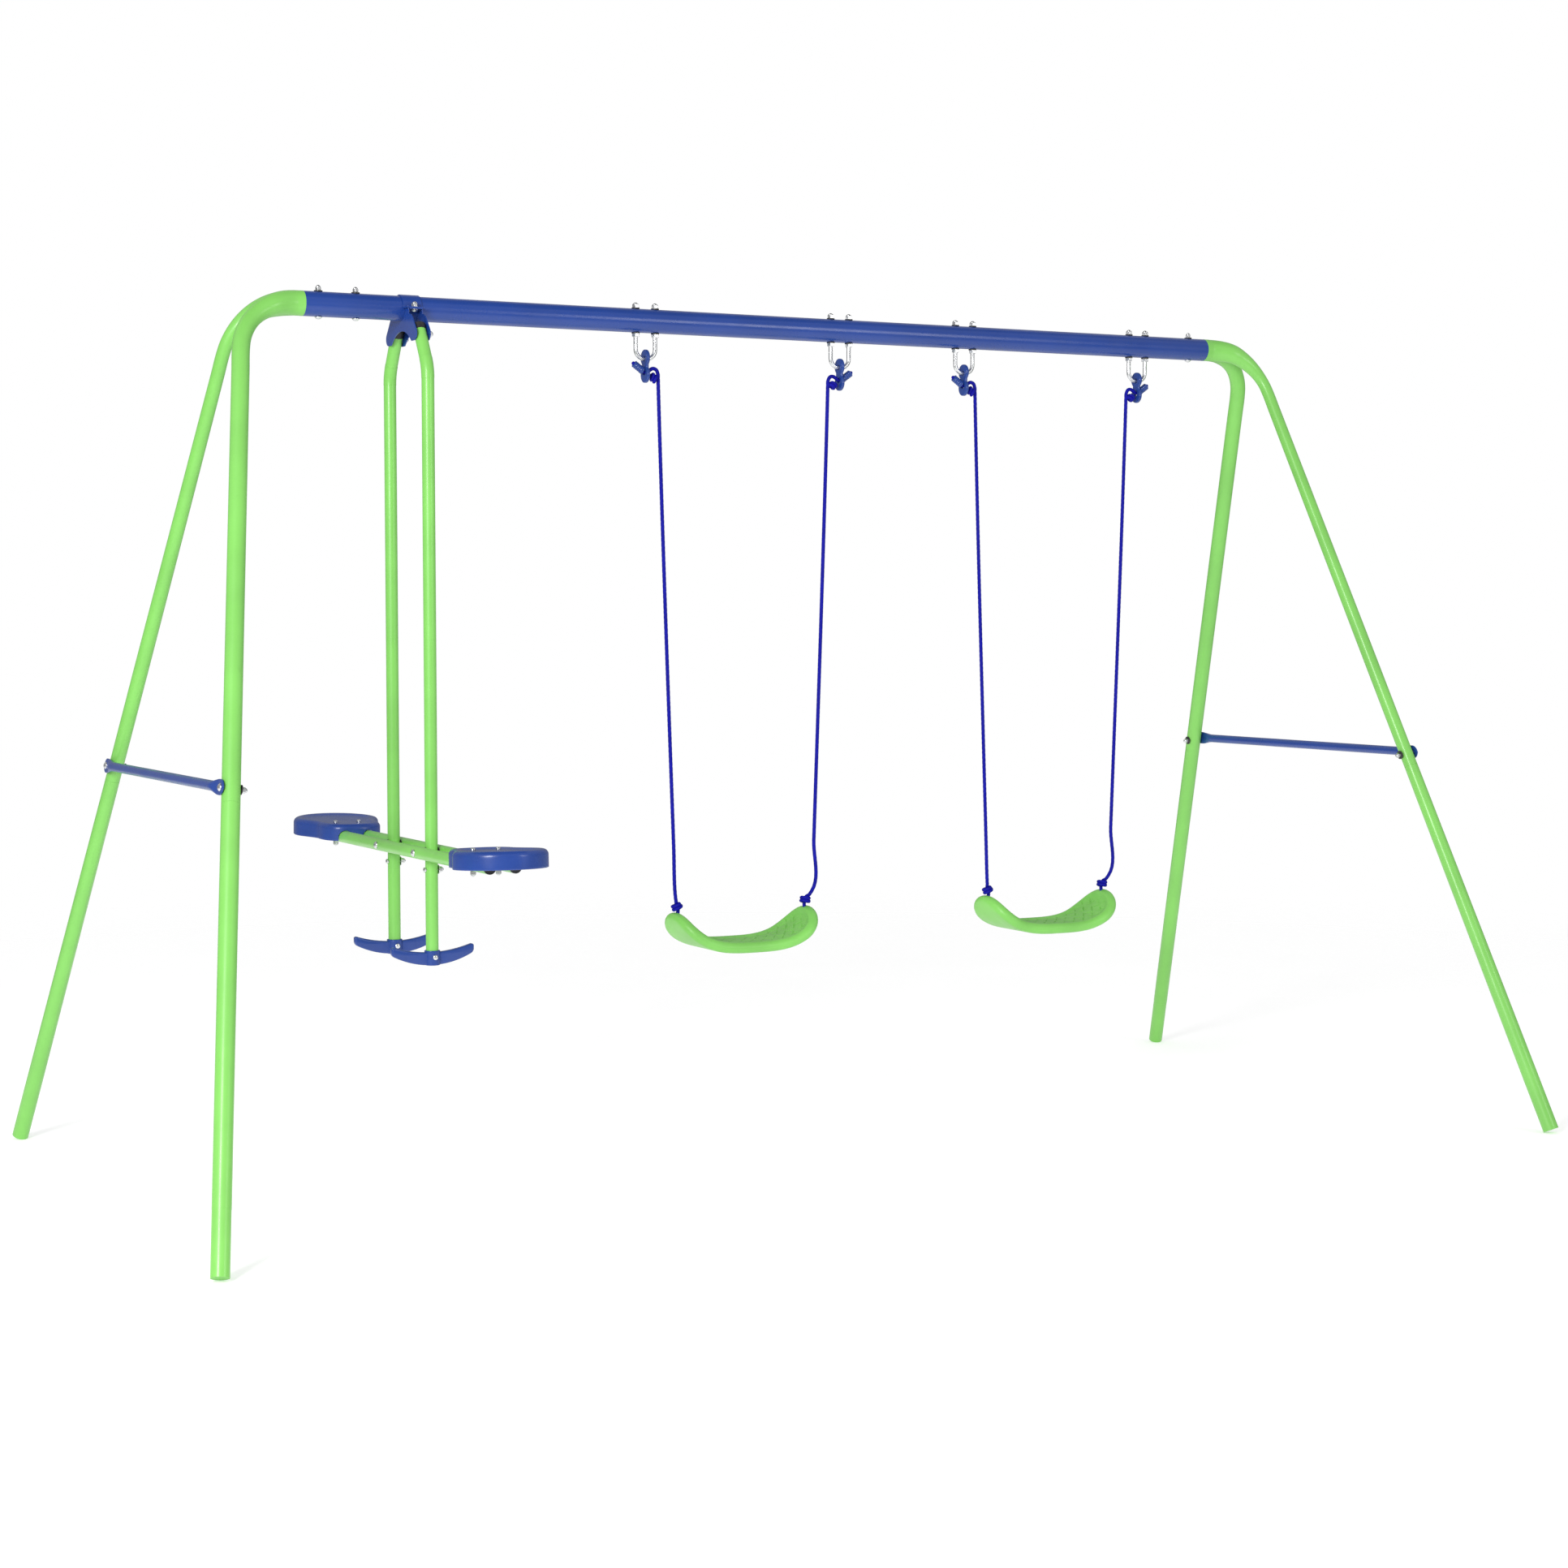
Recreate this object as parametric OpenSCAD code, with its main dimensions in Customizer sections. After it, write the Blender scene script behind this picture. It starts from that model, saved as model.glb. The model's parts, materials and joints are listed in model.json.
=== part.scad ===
// Steel swing set: two A-frame ends, a three-piece top beam, a two-seat glider and two rope swings.
// Origin on the ground under the middle of the beam, X along the beam, Y front (-) to back (+), Z up.

/* [Frame] */
// Height of the beam's axis above the ground
beam_height = 1767; // [1600:1:1900]
// Outside diameter of the beam and of the stubs on the end frames
beam_d = 50; // [48:0.5:54]
// Length of the three beam sections together
beam_length = 2194; // [2150:1:2400]
// Outside diameter of the main legs
leg_d = 35; // [33:0.5:38]
// Wall thickness of all the steel tubes
wall = 1.5; // [1.2:0.1:1.8]
// Distance from the middle of the beam to each foot, along the beam
foot_reach = 1509; // [1450:1:1600]
// Distance from the beam to each foot, front to back
foot_spread = 753; // [650:1:850]

/* [Glider] */
// Middle of the glider along the beam, to the left of the beam's middle
glider_offset = 875; // [820:1:900]
// Outside diameter of the glider's tubes
glider_tube_d = 25.4; // [24:0.1:27]
// Half the distance between the two hangers at the seat bars
hanger_half = 110; // [104:1:125]
// Half the distance between the two pivots in the bracket
pivot_half = 70; // [68:1:74]
// Drop from the beam's axis to the seat bars
bar_drop = 1096; // [1060:1:1140]
// Length of each seat bar
bar_length = 974; // [930:1:1000]

/* [Rope swings] */
// Middle of the first swing, from the middle of the beam
swing_1_x = -111; // [-125:1:-100]
// Middle of the second swing, from the middle of the beam
swing_2_x = 676; // [670:1:690]
// Distance between a swing's two U-bolts
swing_width = 469; // [460:1:480]
// Drop from the beam's axis to the top of the ends of a swing seat
seat_drop = 1257; // [1200:1:1300]
// Diameter of the rope
rope_d = 8; // [6:0.5:9]

/* [Hidden] */

$fn = 64;
green = "#7FE05A";
blue = "#2B4FA0";
rope_blue = "#1C22A0";
silver = "#C9CCD2";
black = "#1B1B1D";

// Fits
gap = 0.1;
cut = 1;
cut_past = 5;
cut_long = 120;
run_gap = 0.05;
bore_gap = 0.3;
hidden = 0.5;
bend_swell = 0.3;

// Beam and its joints
beam_r = beam_d / 2;
beam_half = beam_length / 2;
seam_1_x = -214;
seam_2_x = 435;
beam_spigot = 60;
stub_length = 58;
stub_spigot = 150;
stub_cap = 3;
spigot_r = beam_r - wall - gap;
frame_bolt_r = 3.5;
left_bolt_x = [-1064, -986];
right_bolt_x = [1055];
beam_bolt_x = concat(left_bolt_x, right_bolt_x);
bolt_run_out = 6.5;

// Legs: each runs straight from a corner at the height of the beam's axis to its foot
leg_r = leg_d / 2;
corner_x = 1224;
main_corner_y = -13;
side_corner_y = 22;
side_root = [10, 6];
foot_y_shift = [5, 6];
main_foot_y = foot_y_shift[0] - foot_spread;
side_foot_y = foot_y_shift[1] + foot_spread;
side_top_r = 13;
side_seam_r = 15;
foot_r = 17.25;
bend_r = 90;
seam_share = 0.5475;
leg_spigot = 70;
leg_spigot_gap = 0.3;
foot_sleeve = 120;
plug_depth = 12;
brace_bolt_up = 30;

// The plane of each end frame leans outwards by this angle
lean = atan((foot_reach - corner_x) / beam_height);

// Nuts, bolts and washers
m8_r = 4;
nut_flat_r = 7.5;
nut_h = 6.5;
cap_nut_h = 11;
cap_nut_r = 6;
cap_nut_depth = 7.5;
cap_nut_rim = 1.5;
head_r = 7.5;
small_head_r = 5;
head_h = 5;
head_dome_r = 8.6;
washer_r = 9.5;
washer_h = 1.8;
saddle = 2;
saddle_r = 8.6;

// U-bolts
u_rod_r = 4.5;
u_half = 22.5;
u_bend_r = 19;
u_drop = 79;
u_top = beam_r + bolt_run_out + washer_h;
lock_nut_r = 8.3;

// Glider bracket and strap
strap_w = 40;
strap_t = 2.5;
tab_reach = 48;
clamp_y = 38;
plate_t = 2;
plate_play = 0.8;
plate_half_gap = glider_tube_d / 2 + plate_play;
pivot_drop = 56;
claw_r = 14;
claw_out = 4;
claw_shoulder = [46, -38];
claw_shoulder_r = 24;
claw_neck = 44;
arch_r = 85;
arch_drop = 46.5;

// Glider hangers
tube_r = glider_tube_d / 2;
tube_spigot_r = tube_r - wall - gap;
hanger_lean = 30;
hanger_bend_r = 80;
hanger_seam_drop = [669, 1148];
hanger_spigot = [50, 33];
hanger_overrun = 18;
cap_start = 7;
cap_top = 3;
cap_r = tube_r + 0.6;
foot_bolt_drop = 1131;
foot_drop = 1321;
open_pivot_r = 7.5;

// Seat bars
bar_half_gap = 0.8;
bar_x = 2 * tube_r + bar_half_gap;
spacer_r = 11;
seat_bolt_y = 403;
bar_plug_head = 3;
bar_plug_depth = 10;

// Footrests
rest_half = 88;
collar_r = 16;
collar_h = 30;
rest_t = 15;
rest_sole = 3;
rest_bolt_up = 14;

// Glider seats
seat_outer_r = 93;
seat_inner_r = 66;
seat_outer_y = 474;
seat_inner_y = 402;
seat_skin = 4;
seat_top = 27;
seat_skirt_low = -9;
seat_floor = tube_r + 8;
seat_rim = 18;
seat_dish = 3;
seat_tip = 2.6;
bar_channel_r = tube_r + 1;

// Height of a glider seat's dished top above the bars, at its bolts
seat_hinge_y = seat_inner_y - seat_inner_r;
seat_bolt_up = seat_floor + seat_dish + (seat_bolt_y + small_head_r - seat_hinge_y) * tan(seat_tip) + gap;

// Swing links, ropes and seats
link_r = 17.5;
link_t = 7;
link_pitch = 35;
link_waist = 27;
link_rise = 2;
link_hole_r = 5.2;
rope_r = rope_d / 2;
rope_hole_drop = 107.5;
rope_hole_r = 7.5;
rope_corner_r = rope_r + 0.7;
rope_inboard = 25;
rope_bottom_half = 168;
rope_end_half = 155;
knot_up = 22;
knot_r = 11;
knot_h = 12;
sleeve_r = 7.5;
sleeve_length = 28;
sleeve_tilt = 35;
sleeve_root = [8, 3];
rope_tip = 3;
rope_socket_r = 9;
swing_seat_half = 174;
swing_seat_w = 150;
seat_back = 14;
swing_seat_t = 24;
swing_seat_rise = 92;

// The seat's middle surface is an arc that ends at this half width and this far below the top
swing_arc_half = 165;
swing_arc_end = 10;
swing_arc_sag = swing_seat_rise - swing_seat_t / 2 - swing_arc_end;
swing_arc_angle = 2 * atan(swing_arc_sag / swing_arc_half);
swing_arc_r = swing_arc_half / sin(swing_arc_angle);
swing_arc_z = -seat_drop - swing_seat_rise + swing_seat_t / 2 + swing_arc_r;

// Height of the rope ends, about which the seat tips: on the seat's upper surface
seat_pivot_z = swing_arc_z - sqrt(pow(swing_arc_r - swing_seat_t / 2, 2) - pow(rope_end_half, 2));

function unit(v) = v / norm(v);

// ---- shared shapes ----

// Places children with their Z axis running from one point towards another
module aim(from, to) {
    d = to - from;
    translate(from)
        rotate([0, acos(d.z / norm(d)), atan2(d.y, d.x)])
            children();
}

// Straight round bar or cone between two points
module rod(from, to, r1, r2 = undef) {
    aim(from, to)
        cylinder(h = norm(to - from), r1 = r1, r2 = is_undef(r2) ? r1 : r2);
}

// Round bar that comes in along one direction, bends at a corner and leaves along another.
// in_length and out_length run from the corner; the bar tapers to end_r on its way out.
// The bend is a hair thicker than the straight parts, which run a little way into it
module bent_bar(corner, in_dir, out_dir, r, path_r, in_length, out_length, end_r = undef) {
    n = unit(cross(in_dir, out_dir));
    side = cross(n, in_dir);
    turn = acos(in_dir * out_dir);
    setback = path_r * tan(turn / 2);
    last_r = is_undef(end_r) ? r : end_r;
    multmatrix([
        [in_dir.x, side.x, n.x, corner.x],
        [in_dir.y, side.y, n.y, corner.y],
        [in_dir.z, side.z, n.z, corner.z],
        [0, 0, 0, 1]
    ])
        translate([-setback, path_r, 0])
            rotate([0, 0, -90]) {
                rotate_extrude(angle = turn)
                    translate([path_r, 0])
                        circle(r + bend_swell);
                translate([path_r, hidden, 0])
                    rotate([90, 0, 0])
                        cylinder(h = in_length - setback + hidden, r = r);
                rotate([0, 0, turn])
                    translate([path_r, -hidden, 0])
                        rotate([-90, 0, 0])
                            cylinder(h = out_length - setback + hidden, r1 = r, r2 = last_r);
            }
}

// Domed cap nut with a blind hole, standing on its open face. Its width follows the hole's
module cap_nut(hole_r = m8_r + run_gap) {
    size = hole_r / u_rod_r;
    difference() {
        union() {
            cylinder(h = nut_h, r = size * nut_flat_r, $fn = 6);
            cylinder(h = nut_h + cap_nut_rim, r = size * cap_nut_r);
            translate([0, 0, cap_nut_h - size * cap_nut_r])
                sphere(r = size * cap_nut_r);
        }
        translate([0, 0, -cut_past])
            cylinder(h = cap_nut_depth + cut_past, r = hole_r);
    }
}

// Bolt with a low domed head: the shank runs up from the origin, the head sits below it
module bolt(length, r = m8_r, wide = head_r) {
    cylinder(h = length, r = r);
    intersection() {
        translate([0, 0, -head_h])
            cylinder(h = head_h, r = wide);
        translate([0, 0, head_dome_r - head_h])
            sphere(r = head_dome_r);
    }
}

module washer(hole_r = m8_r + run_gap, r = washer_r, h = washer_h) {
    difference() {
        cylinder(h = h, r = r);
        translate([0, 0, -cut])
            cylinder(h = h + 2 * cut, r = hole_r);
    }
}

// Washer whose lower face is hollowed to sit on the beam, axis along Z, beam below it
module saddle_washer(hole_r = m8_r + run_gap) {
    difference() {
        translate([0, 0, beam_r - saddle])
            cylinder(h = saddle + washer_h + gap, r = saddle_r);
        translate([-2 * saddle_r, 0, 0])
            rotate([0, 90, 0])
                cylinder(h = 4 * saddle_r, r = beam_r + gap);
        cylinder(h = 2 * beam_r, r = hole_r);
    }
}

// ---- end frames and legs ----

corner_main = [-corner_x, main_corner_y, beam_height];
corner_side = [-corner_x, side_corner_y, beam_height];

// Centre of a foot's cut end, high enough for its lowest edge to touch the ground
function foot_point(corner, foot_y, r) =
    let (flat = norm([foot_reach - corner_x, foot_y - corner.y]))
    [-foot_reach, foot_y, r * flat / norm([flat, beam_height])];

foot_main = foot_point(corner_main, main_foot_y, foot_r);
foot_side = foot_point(corner_side, side_foot_y, foot_r);
seam_main = corner_main + seam_share * (foot_main - corner_main);
seam_side = corner_side + seam_share * (foot_side - corner_side);
dir_main = unit(foot_main - corner_main);
dir_side = unit(foot_side - corner_side);
stub_dir_main = [-1, 0, 0];
side_start = [-beam_half - side_root.x, side_root.y, beam_height];
stub_dir_side = unit(corner_side - side_start);

// Upper end of each leg: out of the stub, round the bend and down to the seam. A grow of zero gives the
// outside and a negative wall the hollow, which then runs past the seam
module upper_main(grow, past) {
    bent_bar(corner_main, stub_dir_main, dir_main, leg_r + grow, bend_r,
        corner_x - beam_half - stub_length / 2, norm(seam_main - corner_main) + past);
}

module upper_side(grow, past) {
    bent_bar(corner_side, stub_dir_side, dir_side, side_top_r + grow, bend_r,
        norm(corner_side - side_start) - stub_length / 2, norm(seam_side - corner_side) + past,
        side_seam_r + grow);
}

// Hole along the end frame's own X axis, through a leg at its brace bolt
module leg_bolt_holes(r) {
    for (y = brace_y)
        brace_place(y)
            rotate([0, 90, 0])
                translate([0, 0, -cut_long / 2])
                    cylinder(h = cut_long, r = r);
}

// Where the brace bolts cross the legs, measured in the leaning plane of the end frame
brace_share = seam_share - brace_bolt_up / norm(foot_main - corner_main);
function brace_at(corner, foot) = corner + brace_share * (foot - corner);
brace_y = [brace_at(corner_main, foot_main).y, brace_at(corner_side, foot_side).y];
brace_point = brace_at(corner_main, foot_main);
bolt_side_z = brace_at(corner_side, foot_side).z - brace_point.z;

module brace_place(y) {
    translate([brace_point.x, y, brace_point.z + (y > 0 ? bolt_side_z : 0)])
        rotate([0, lean, 0])
            children();
}

// The left end frame's shape, with its bolts through the beam at the given stations
module end_frame(bolt_x) {
    difference() {
        union() {
            translate([-beam_half - stub_length, 0, beam_height])
                rotate([0, 90, 0])
                    cylinder(h = stub_length, r = beam_r);
            translate([-beam_half, 0, beam_height])
                rotate([0, 90, 0])
                    cylinder(h = stub_spigot, r = spigot_r);
            upper_main(0, 0);
            upper_side(0, 0);
        }
        translate([-beam_half - stub_length + stub_cap, 0, beam_height])
            rotate([0, 90, 0])
                cylinder(h = stub_length + stub_spigot, r = spigot_r - wall);
        upper_main(-wall, cut_past);
        upper_side(-wall, cut_past);
        for (x = bolt_x)
            beam_hole(x, frame_bolt_r + bore_gap);
        leg_bolt_holes(frame_bolt_r + bore_gap);
    }
}

// Reduced end of a lower leg that slides into the upper leg, from above the seam to a little below it
module leg_end(seam, d, r, past_top, past_seam) {
    rod(seam - (leg_spigot + past_top) * d, seam + past_seam * d, r);
}

// Lower leg: an outside with a reduced end, less the hollow and the bolt holes.
// The two children are the outside and the hollow below the seam
module lower_leg(seam, d, seam_r) {
    difference() {
        union() {
            leg_end(seam, d, seam_r - wall - leg_spigot_gap, 0, hidden);
            children(0);
        }
        leg_end(seam, d, seam_r - 2 * wall - leg_spigot_gap, cut_past, 4 * wall);
        children(1);
        leg_bolt_holes(frame_bolt_r + bore_gap);
    }
}

// Straight tube, turned down a little over the length of the foot
module main_leg() {
    lower_leg(seam_main, dir_main, leg_r) {
        union() {
            rod(seam_main + gap * dir_main, foot_main, foot_r);
            rod(seam_main + gap * dir_main, foot_main - foot_sleeve * dir_main, leg_r);
        }
        rod(seam_main + 3 * wall * dir_main, foot_main + cut_past * dir_main, foot_r - wall);
    }
}

// Tube that widens down to the foot
module side_leg() {
    sleeve_top = foot_side - foot_sleeve * dir_side;
    lower_leg(seam_side, dir_side, side_seam_r) {
        union() {
            rod(seam_side + gap * dir_side, sleeve_top, side_seam_r, foot_r);
            rod(sleeve_top, foot_side, foot_r);
        }
        union() {
            rod(seam_side + 3 * wall * dir_side, sleeve_top, side_seam_r - wall, foot_r - wall);
            rod(sleeve_top, foot_side + cut_past * dir_side, foot_r - wall);
        }
    }
}

module half_turn() {
    rotate([0, 0, 180])
        children();
}

module both_ends() {
    children();
    half_turn()
        children();
}

module left_end_frame() {
    color(green)
        end_frame(left_bolt_x);
}

module right_end_frame() {
    color(green)
        half_turn()
            end_frame(-right_bolt_x);
}

module left_front_leg() {
    color(green)
        main_leg();
}

module left_rear_leg() {
    color(green)
        side_leg();
}

module right_front_leg() {
    color(green)
        half_turn()
            side_leg();
}

module right_rear_leg() {
    color(green)
        half_turn()
            main_leg();
}

module foot_plugs() {
    color(green)
        both_ends() {
            rod(foot_main - plug_depth * dir_main, foot_main, foot_r - wall - gap);
            rod(foot_side - plug_depth * dir_side, foot_side, foot_r - wall - gap);
        }
}

// ---- braces ----

spade_r = 15;
spade_t = 3;
spade_length = 26;
brace_r = 9.75;
neck_length = 22;
neck_swell = 0.4;
brace_stand_off = 0.6;
brace_out = leg_r + brace_stand_off + spade_t / 2;

// Flattened end of a brace tube, bolt at the origin, tube leaving along +Y
module spade() {
    rotate([0, 90, 0])
        translate([0, 0, -spade_t / 2])
            cylinder(h = spade_t, r = spade_r);
    translate([-spade_t / 2, 0, -spade_r])
        cube([spade_t, spade_length, 2 * spade_r]);
    hull() {
        translate([-spade_t / 2, spade_length - hidden, -spade_r])
            cube([spade_t, hidden, 2 * spade_r]);
        translate([0, spade_length + neck_length, 0])
            rotate([-90, 0, 0])
                cylinder(h = hidden, r = brace_r + neck_swell, $fn = 32);
    }
}

module brace() {
    span = brace_y[1] - brace_y[0];
    rise = bolt_side_z;
    slope = atan(rise / span);
    difference() {
        brace_place(brace_y[0])
            translate([-brace_out, 0, 0])
                rotate([slope, 0, 0]) {
                    spade();
                    translate([0, norm([span, rise]), 0])
                        rotate([0, 0, 180])
                            spade();
                    translate([0, spade_length + neck_length, 0])
                        rotate([-90, 0, 0])
                            cylinder(h = norm([span, rise]) - 2 * (spade_length + neck_length), r = brace_r);
                }
        leg_bolt_holes(frame_bolt_r + bore_gap);
    }
}

module left_brace() {
    color(blue)
        brace();
}

module right_brace() {
    color(blue)
        half_turn()
            brace();
}

// One brace bolt's parts stand on the inner face of the leg, pointing inwards along the frame's X
module each_brace_bolt() {
    both_ends()
        for (y = brace_y)
            brace_place(y)
                rotate([0, 90, 0])
                    children();
}

brace_head_at = -(brace_out + spade_t / 2 + gap);
brace_inner = leg_r + brace_stand_off;

module brace_bolts() {
    color(silver)
        each_brace_bolt()
            translate([0, 0, brace_head_at])
                bolt(brace_inner - brace_head_at + washer_h + bolt_run_out, frame_bolt_r);
}

module brace_washers() {
    color(black)
        each_brace_bolt()
            translate([0, 0, brace_inner])
                washer(frame_bolt_r + run_gap);
}

module brace_nuts() {
    color(silver)
        each_brace_bolt()
            translate([0, 0, brace_inner + washer_h + gap])
                cap_nut(frame_bolt_r + run_gap);
}

// ---- beam ----

u_bolt_x = [
    for (x = [swing_1_x, swing_2_x], side = [-1, 1]) x + side * swing_width / 2
];

// A beam section between two stations; the spigot reaches past its left end when asked
module beam_section(from_x, to_x, spigot) {
    difference() {
        union() {
            translate([from_x, 0, beam_height])
                rotate([0, 90, 0])
                    cylinder(h = to_x - from_x, r = beam_r);
            if (spigot)
                translate([from_x - beam_spigot, 0, beam_height])
                    rotate([0, 90, 0])
                        cylinder(h = beam_spigot + hidden, r = spigot_r);
        }
        translate([from_x - (spigot ? beam_spigot : 0) - cut, 0, beam_height])
            rotate([0, 90, 0])
                cylinder(h = (spigot ? beam_spigot + 2 * wall : 0) + cut, r = spigot_r - wall);
        translate([from_x + (spigot ? wall : -cut), 0, beam_height])
            rotate([0, 90, 0])
                cylinder(h = to_x - from_x + 2 * cut, r = beam_r - wall);
        for (x = u_bolt_x, side = [-1, 1])
            beam_hole(x + side * u_half, u_rod_r + bore_gap);
        for (x = beam_bolt_x)
            beam_hole(x, frame_bolt_r + bore_gap);
    }
}

module beam_hole(x, r) {
    translate([x, 0, beam_height - beam_r - cut_past])
        cylinder(h = 2 * (beam_r + cut_past), r = r);
}

module beam_left() {
    color(blue)
        beam_section(-beam_half, seam_1_x, false);
}

module beam_middle() {
    color(blue)
        beam_section(seam_1_x, seam_2_x, true);
}

module beam_right() {
    color(blue)
        beam_section(seam_2_x, beam_half, true);
}

module each_beam_bolt() {
    for (x = beam_bolt_x)
        translate([x, 0, beam_height])
            children();
}

module beam_bolts() {
    color(silver)
        each_beam_bolt()
            translate([0, 0, -beam_r - gap])
                bolt(2 * beam_r + washer_h + bolt_run_out, frame_bolt_r);
}

module beam_washers() {
    color(black) {
        each_beam_bolt()
            saddle_washer(frame_bolt_r + run_gap);
        each_u_leg() {
            saddle_washer(u_rod_r + run_gap);
            rotate([180, 0, 0])
                saddle_washer(u_rod_r + run_gap);
        }
    }
}

module beam_nuts() {
    color(silver)
        each_beam_bolt()
            translate([0, 0, beam_r + washer_h + 2 * gap])
                cap_nut(frame_bolt_r + run_gap);
}

// ---- U-bolts ----

module each_u_leg() {
    for (x = u_bolt_x, side = [-1, 1])
        translate([x + side * u_half, 0, beam_height])
            children();
}

module u_bolt() {
    for (side = [-1, 1])
        translate([side * u_half, 0, u_bend_r - u_drop])
            cylinder(h = u_top - u_bend_r + u_drop, r = u_rod_r);
    for (side = [0, 1])
        mirror([side, 0, 0])
            translate([u_half - u_bend_r, 0, u_bend_r - u_drop])
                rotate([90, 90, 0])
                    rotate_extrude(angle = 90)
                        translate([u_bend_r, 0])
                            circle(u_rod_r);
    translate([u_bend_r - u_half, 0, -u_drop])
        rotate([0, 90, 0])
            cylinder(h = 2 * (u_half - u_bend_r), r = u_rod_r);
}

module u_bolts() {
    color(silver)
        for (x = u_bolt_x)
            translate([x, 0, beam_height])
                u_bolt();
}

module u_bolt_lock_nuts() {
    color(silver)
        each_u_leg()
            translate([0, 0, -beam_r - washer_h - 2 * gap - nut_h])
                difference() {
                    cylinder(h = nut_h, r = lock_nut_r, $fn = 6);
                    translate([0, 0, -cut])
                        cylinder(h = nut_h + 2 * cut, r = u_rod_r + run_gap);
                }
}

module u_bolt_cap_nuts() {
    color(silver)
        each_u_leg()
            translate([0, 0, beam_r + washer_h + 2 * gap])
                cap_nut(u_rod_r + run_gap);
}

// ---- glider bracket ----

module at_glider() {
    translate([-glider_offset, 0, beam_height])
        children();
}

// Draws a profile given in (Y, Z) and gives it a thickness along X, centred
module across(t) {
    rotate([90, 0, 90])
        translate([0, 0, -t / 2])
            linear_extrude(t)
                children();
}

module claw_profile() {
    difference() {
        union()
            for (side = [0, 1])
                mirror([side, 0]) {
                    translate([0, claw_shoulder.y])
                        square([claw_neck, -claw_shoulder.y]);
                    hull() {
                        translate([pivot_half + claw_out, -pivot_drop])
                            circle(claw_r);
                        translate(claw_shoulder)
                            circle(claw_shoulder_r);
                        translate([0, -pivot_drop])
                            circle(claw_r);
                    }
                }
        translate([0, -arch_drop - arch_r])
            circle(arch_r);
        circle(beam_r + 2 * gap);
        translate([-2 * tab_reach, -strap_t - gap])
            square(4 * tab_reach);
    }
}

module claw_plate(side) {
    difference() {
        translate([side * (plate_half_gap + plate_t / 2), 0, 0])
            across(plate_t)
                claw_profile();
        for (y = [-pivot_half, pivot_half])
            cross_hole(y, pivot_drop, m8_r + run_gap);
    }
}

module clamp_flange(side) {
    low = -strap_t - gap - plate_t;
    difference() {
        translate([-plate_half_gap - hidden, side > 0 ? beam_r + cut : -tab_reach, low])
            cube([2 * (plate_half_gap + hidden), tab_reach - beam_r - cut, plate_t]);
        translate([0, side * clamp_y, low - cut])
            cylinder(h = plate_t + 2 * cut, r = m8_r + bore_gap);
    }
}

module glider_bracket() {
    color(blue)
        at_glider() {
            for (side = [-1, 1]) {
                claw_plate(side);
                clamp_flange(side);
            }
        }
}

module glider_strap() {
    color(blue)
        at_glider()
            difference() {
                across(strap_w)
                    difference() {
                        union() {
                            circle(beam_r + gap + strap_t);
                            translate([-tab_reach, -strap_t])
                                square([2 * tab_reach, strap_t]);
                        }
                        circle(beam_r + gap);
                        translate([-2 * tab_reach, -4 * tab_reach - strap_t])
                            square(4 * tab_reach);
                    }
                for (side = [-1, 1])
                    translate([0, side * clamp_y, -strap_t - cut])
                        cylinder(h = strap_t + 2 * cut, r = m8_r + bore_gap);
            }
}

module bracket_bolts() {
    color(silver)
        at_glider()
            for (side = [-1, 1])
                translate([0, side * clamp_y, -strap_t - 2 * gap - plate_t])
                    bolt(strap_t + plate_t + bolt_run_out);
}

module bracket_nuts() {
    color(silver)
        at_glider()
            for (side = [-1, 1])
                translate([0, side * clamp_y, gap])
                    cap_nut();
}

// Parts of the two pivots, pointing along +X
module each_hanger_pivot() {
    at_glider()
        for (y = [-pivot_half, pivot_half])
            translate([0, y, -pivot_drop])
                rotate([0, 90, 0])
                    children();
}

plate_out = plate_half_gap + plate_t;

// Studs that end flush with the left plate
module hanger_pivot_studs() {
    color(silver)
        each_hanger_pivot()
            translate([0, 0, -plate_out])
                cylinder(h = 2 * plate_out + bolt_run_out, r = m8_r);
}

module hanger_pivot_nuts() {
    color(silver)
        each_hanger_pivot()
            translate([0, 0, plate_out + gap])
                cap_nut();
}

// ---- glider hangers: drawn for the front one, mirrored for the rear one ----

pivot = [0, -pivot_half, -pivot_drop];
up_dir = [0, sin(hanger_lean), cos(hanger_lean)];
hanger_corner = [0, -hanger_half, -pivot_drop - (hanger_half - pivot_half) / tan(hanger_lean)];

module hanger_path(r, past) {
    bent_bar(hanger_corner, -up_dir, [0, 0, -1], r, hanger_bend_r,
        norm(hanger_corner - pivot) + hanger_overrun + past,
        hanger_corner.z + hanger_seam_drop[0] + past);
}

module cross_hole(y, drop, r) {
    translate([-cut_long / 2, y, -drop])
        rotate([0, 90, 0])
            cylinder(h = cut_long, r = r);
}

module hanger_top() {
    difference() {
        hanger_path(tube_r, 0);
        hanger_path(tube_r - wall, cut_past);
        cross_hole(-pivot_half, pivot_drop, m8_r + run_gap);
    }
}

module hanger_cap() {
    difference() {
        rod(pivot + cap_start * up_dir, pivot + (hanger_overrun + cap_top) * up_dir, cap_r);
        rod(pivot + (cap_start - cut) * up_dir, pivot + (hanger_overrun + gap) * up_dir, tube_r + run_gap);
    }
}

// Straight hanger tube from one drop to another, with a reduced end that slides up into the tube above
module straight_tube(top_drop, bottom_drop, spigot) {
    translate([0, -hanger_half, -bottom_drop])
        difference() {
            union() {
                cylinder(h = bottom_drop - top_drop, r = tube_r);
                cylinder(h = bottom_drop - top_drop + spigot, r = tube_spigot_r);
            }
            translate([0, 0, -cut])
                cylinder(h = bottom_drop - top_drop - 2 * wall + cut, r = tube_r - wall);
            translate([0, 0, -cut])
                cylinder(h = bottom_drop - top_drop + spigot + 2 * cut, r = tube_spigot_r - wall);
        }
}

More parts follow.
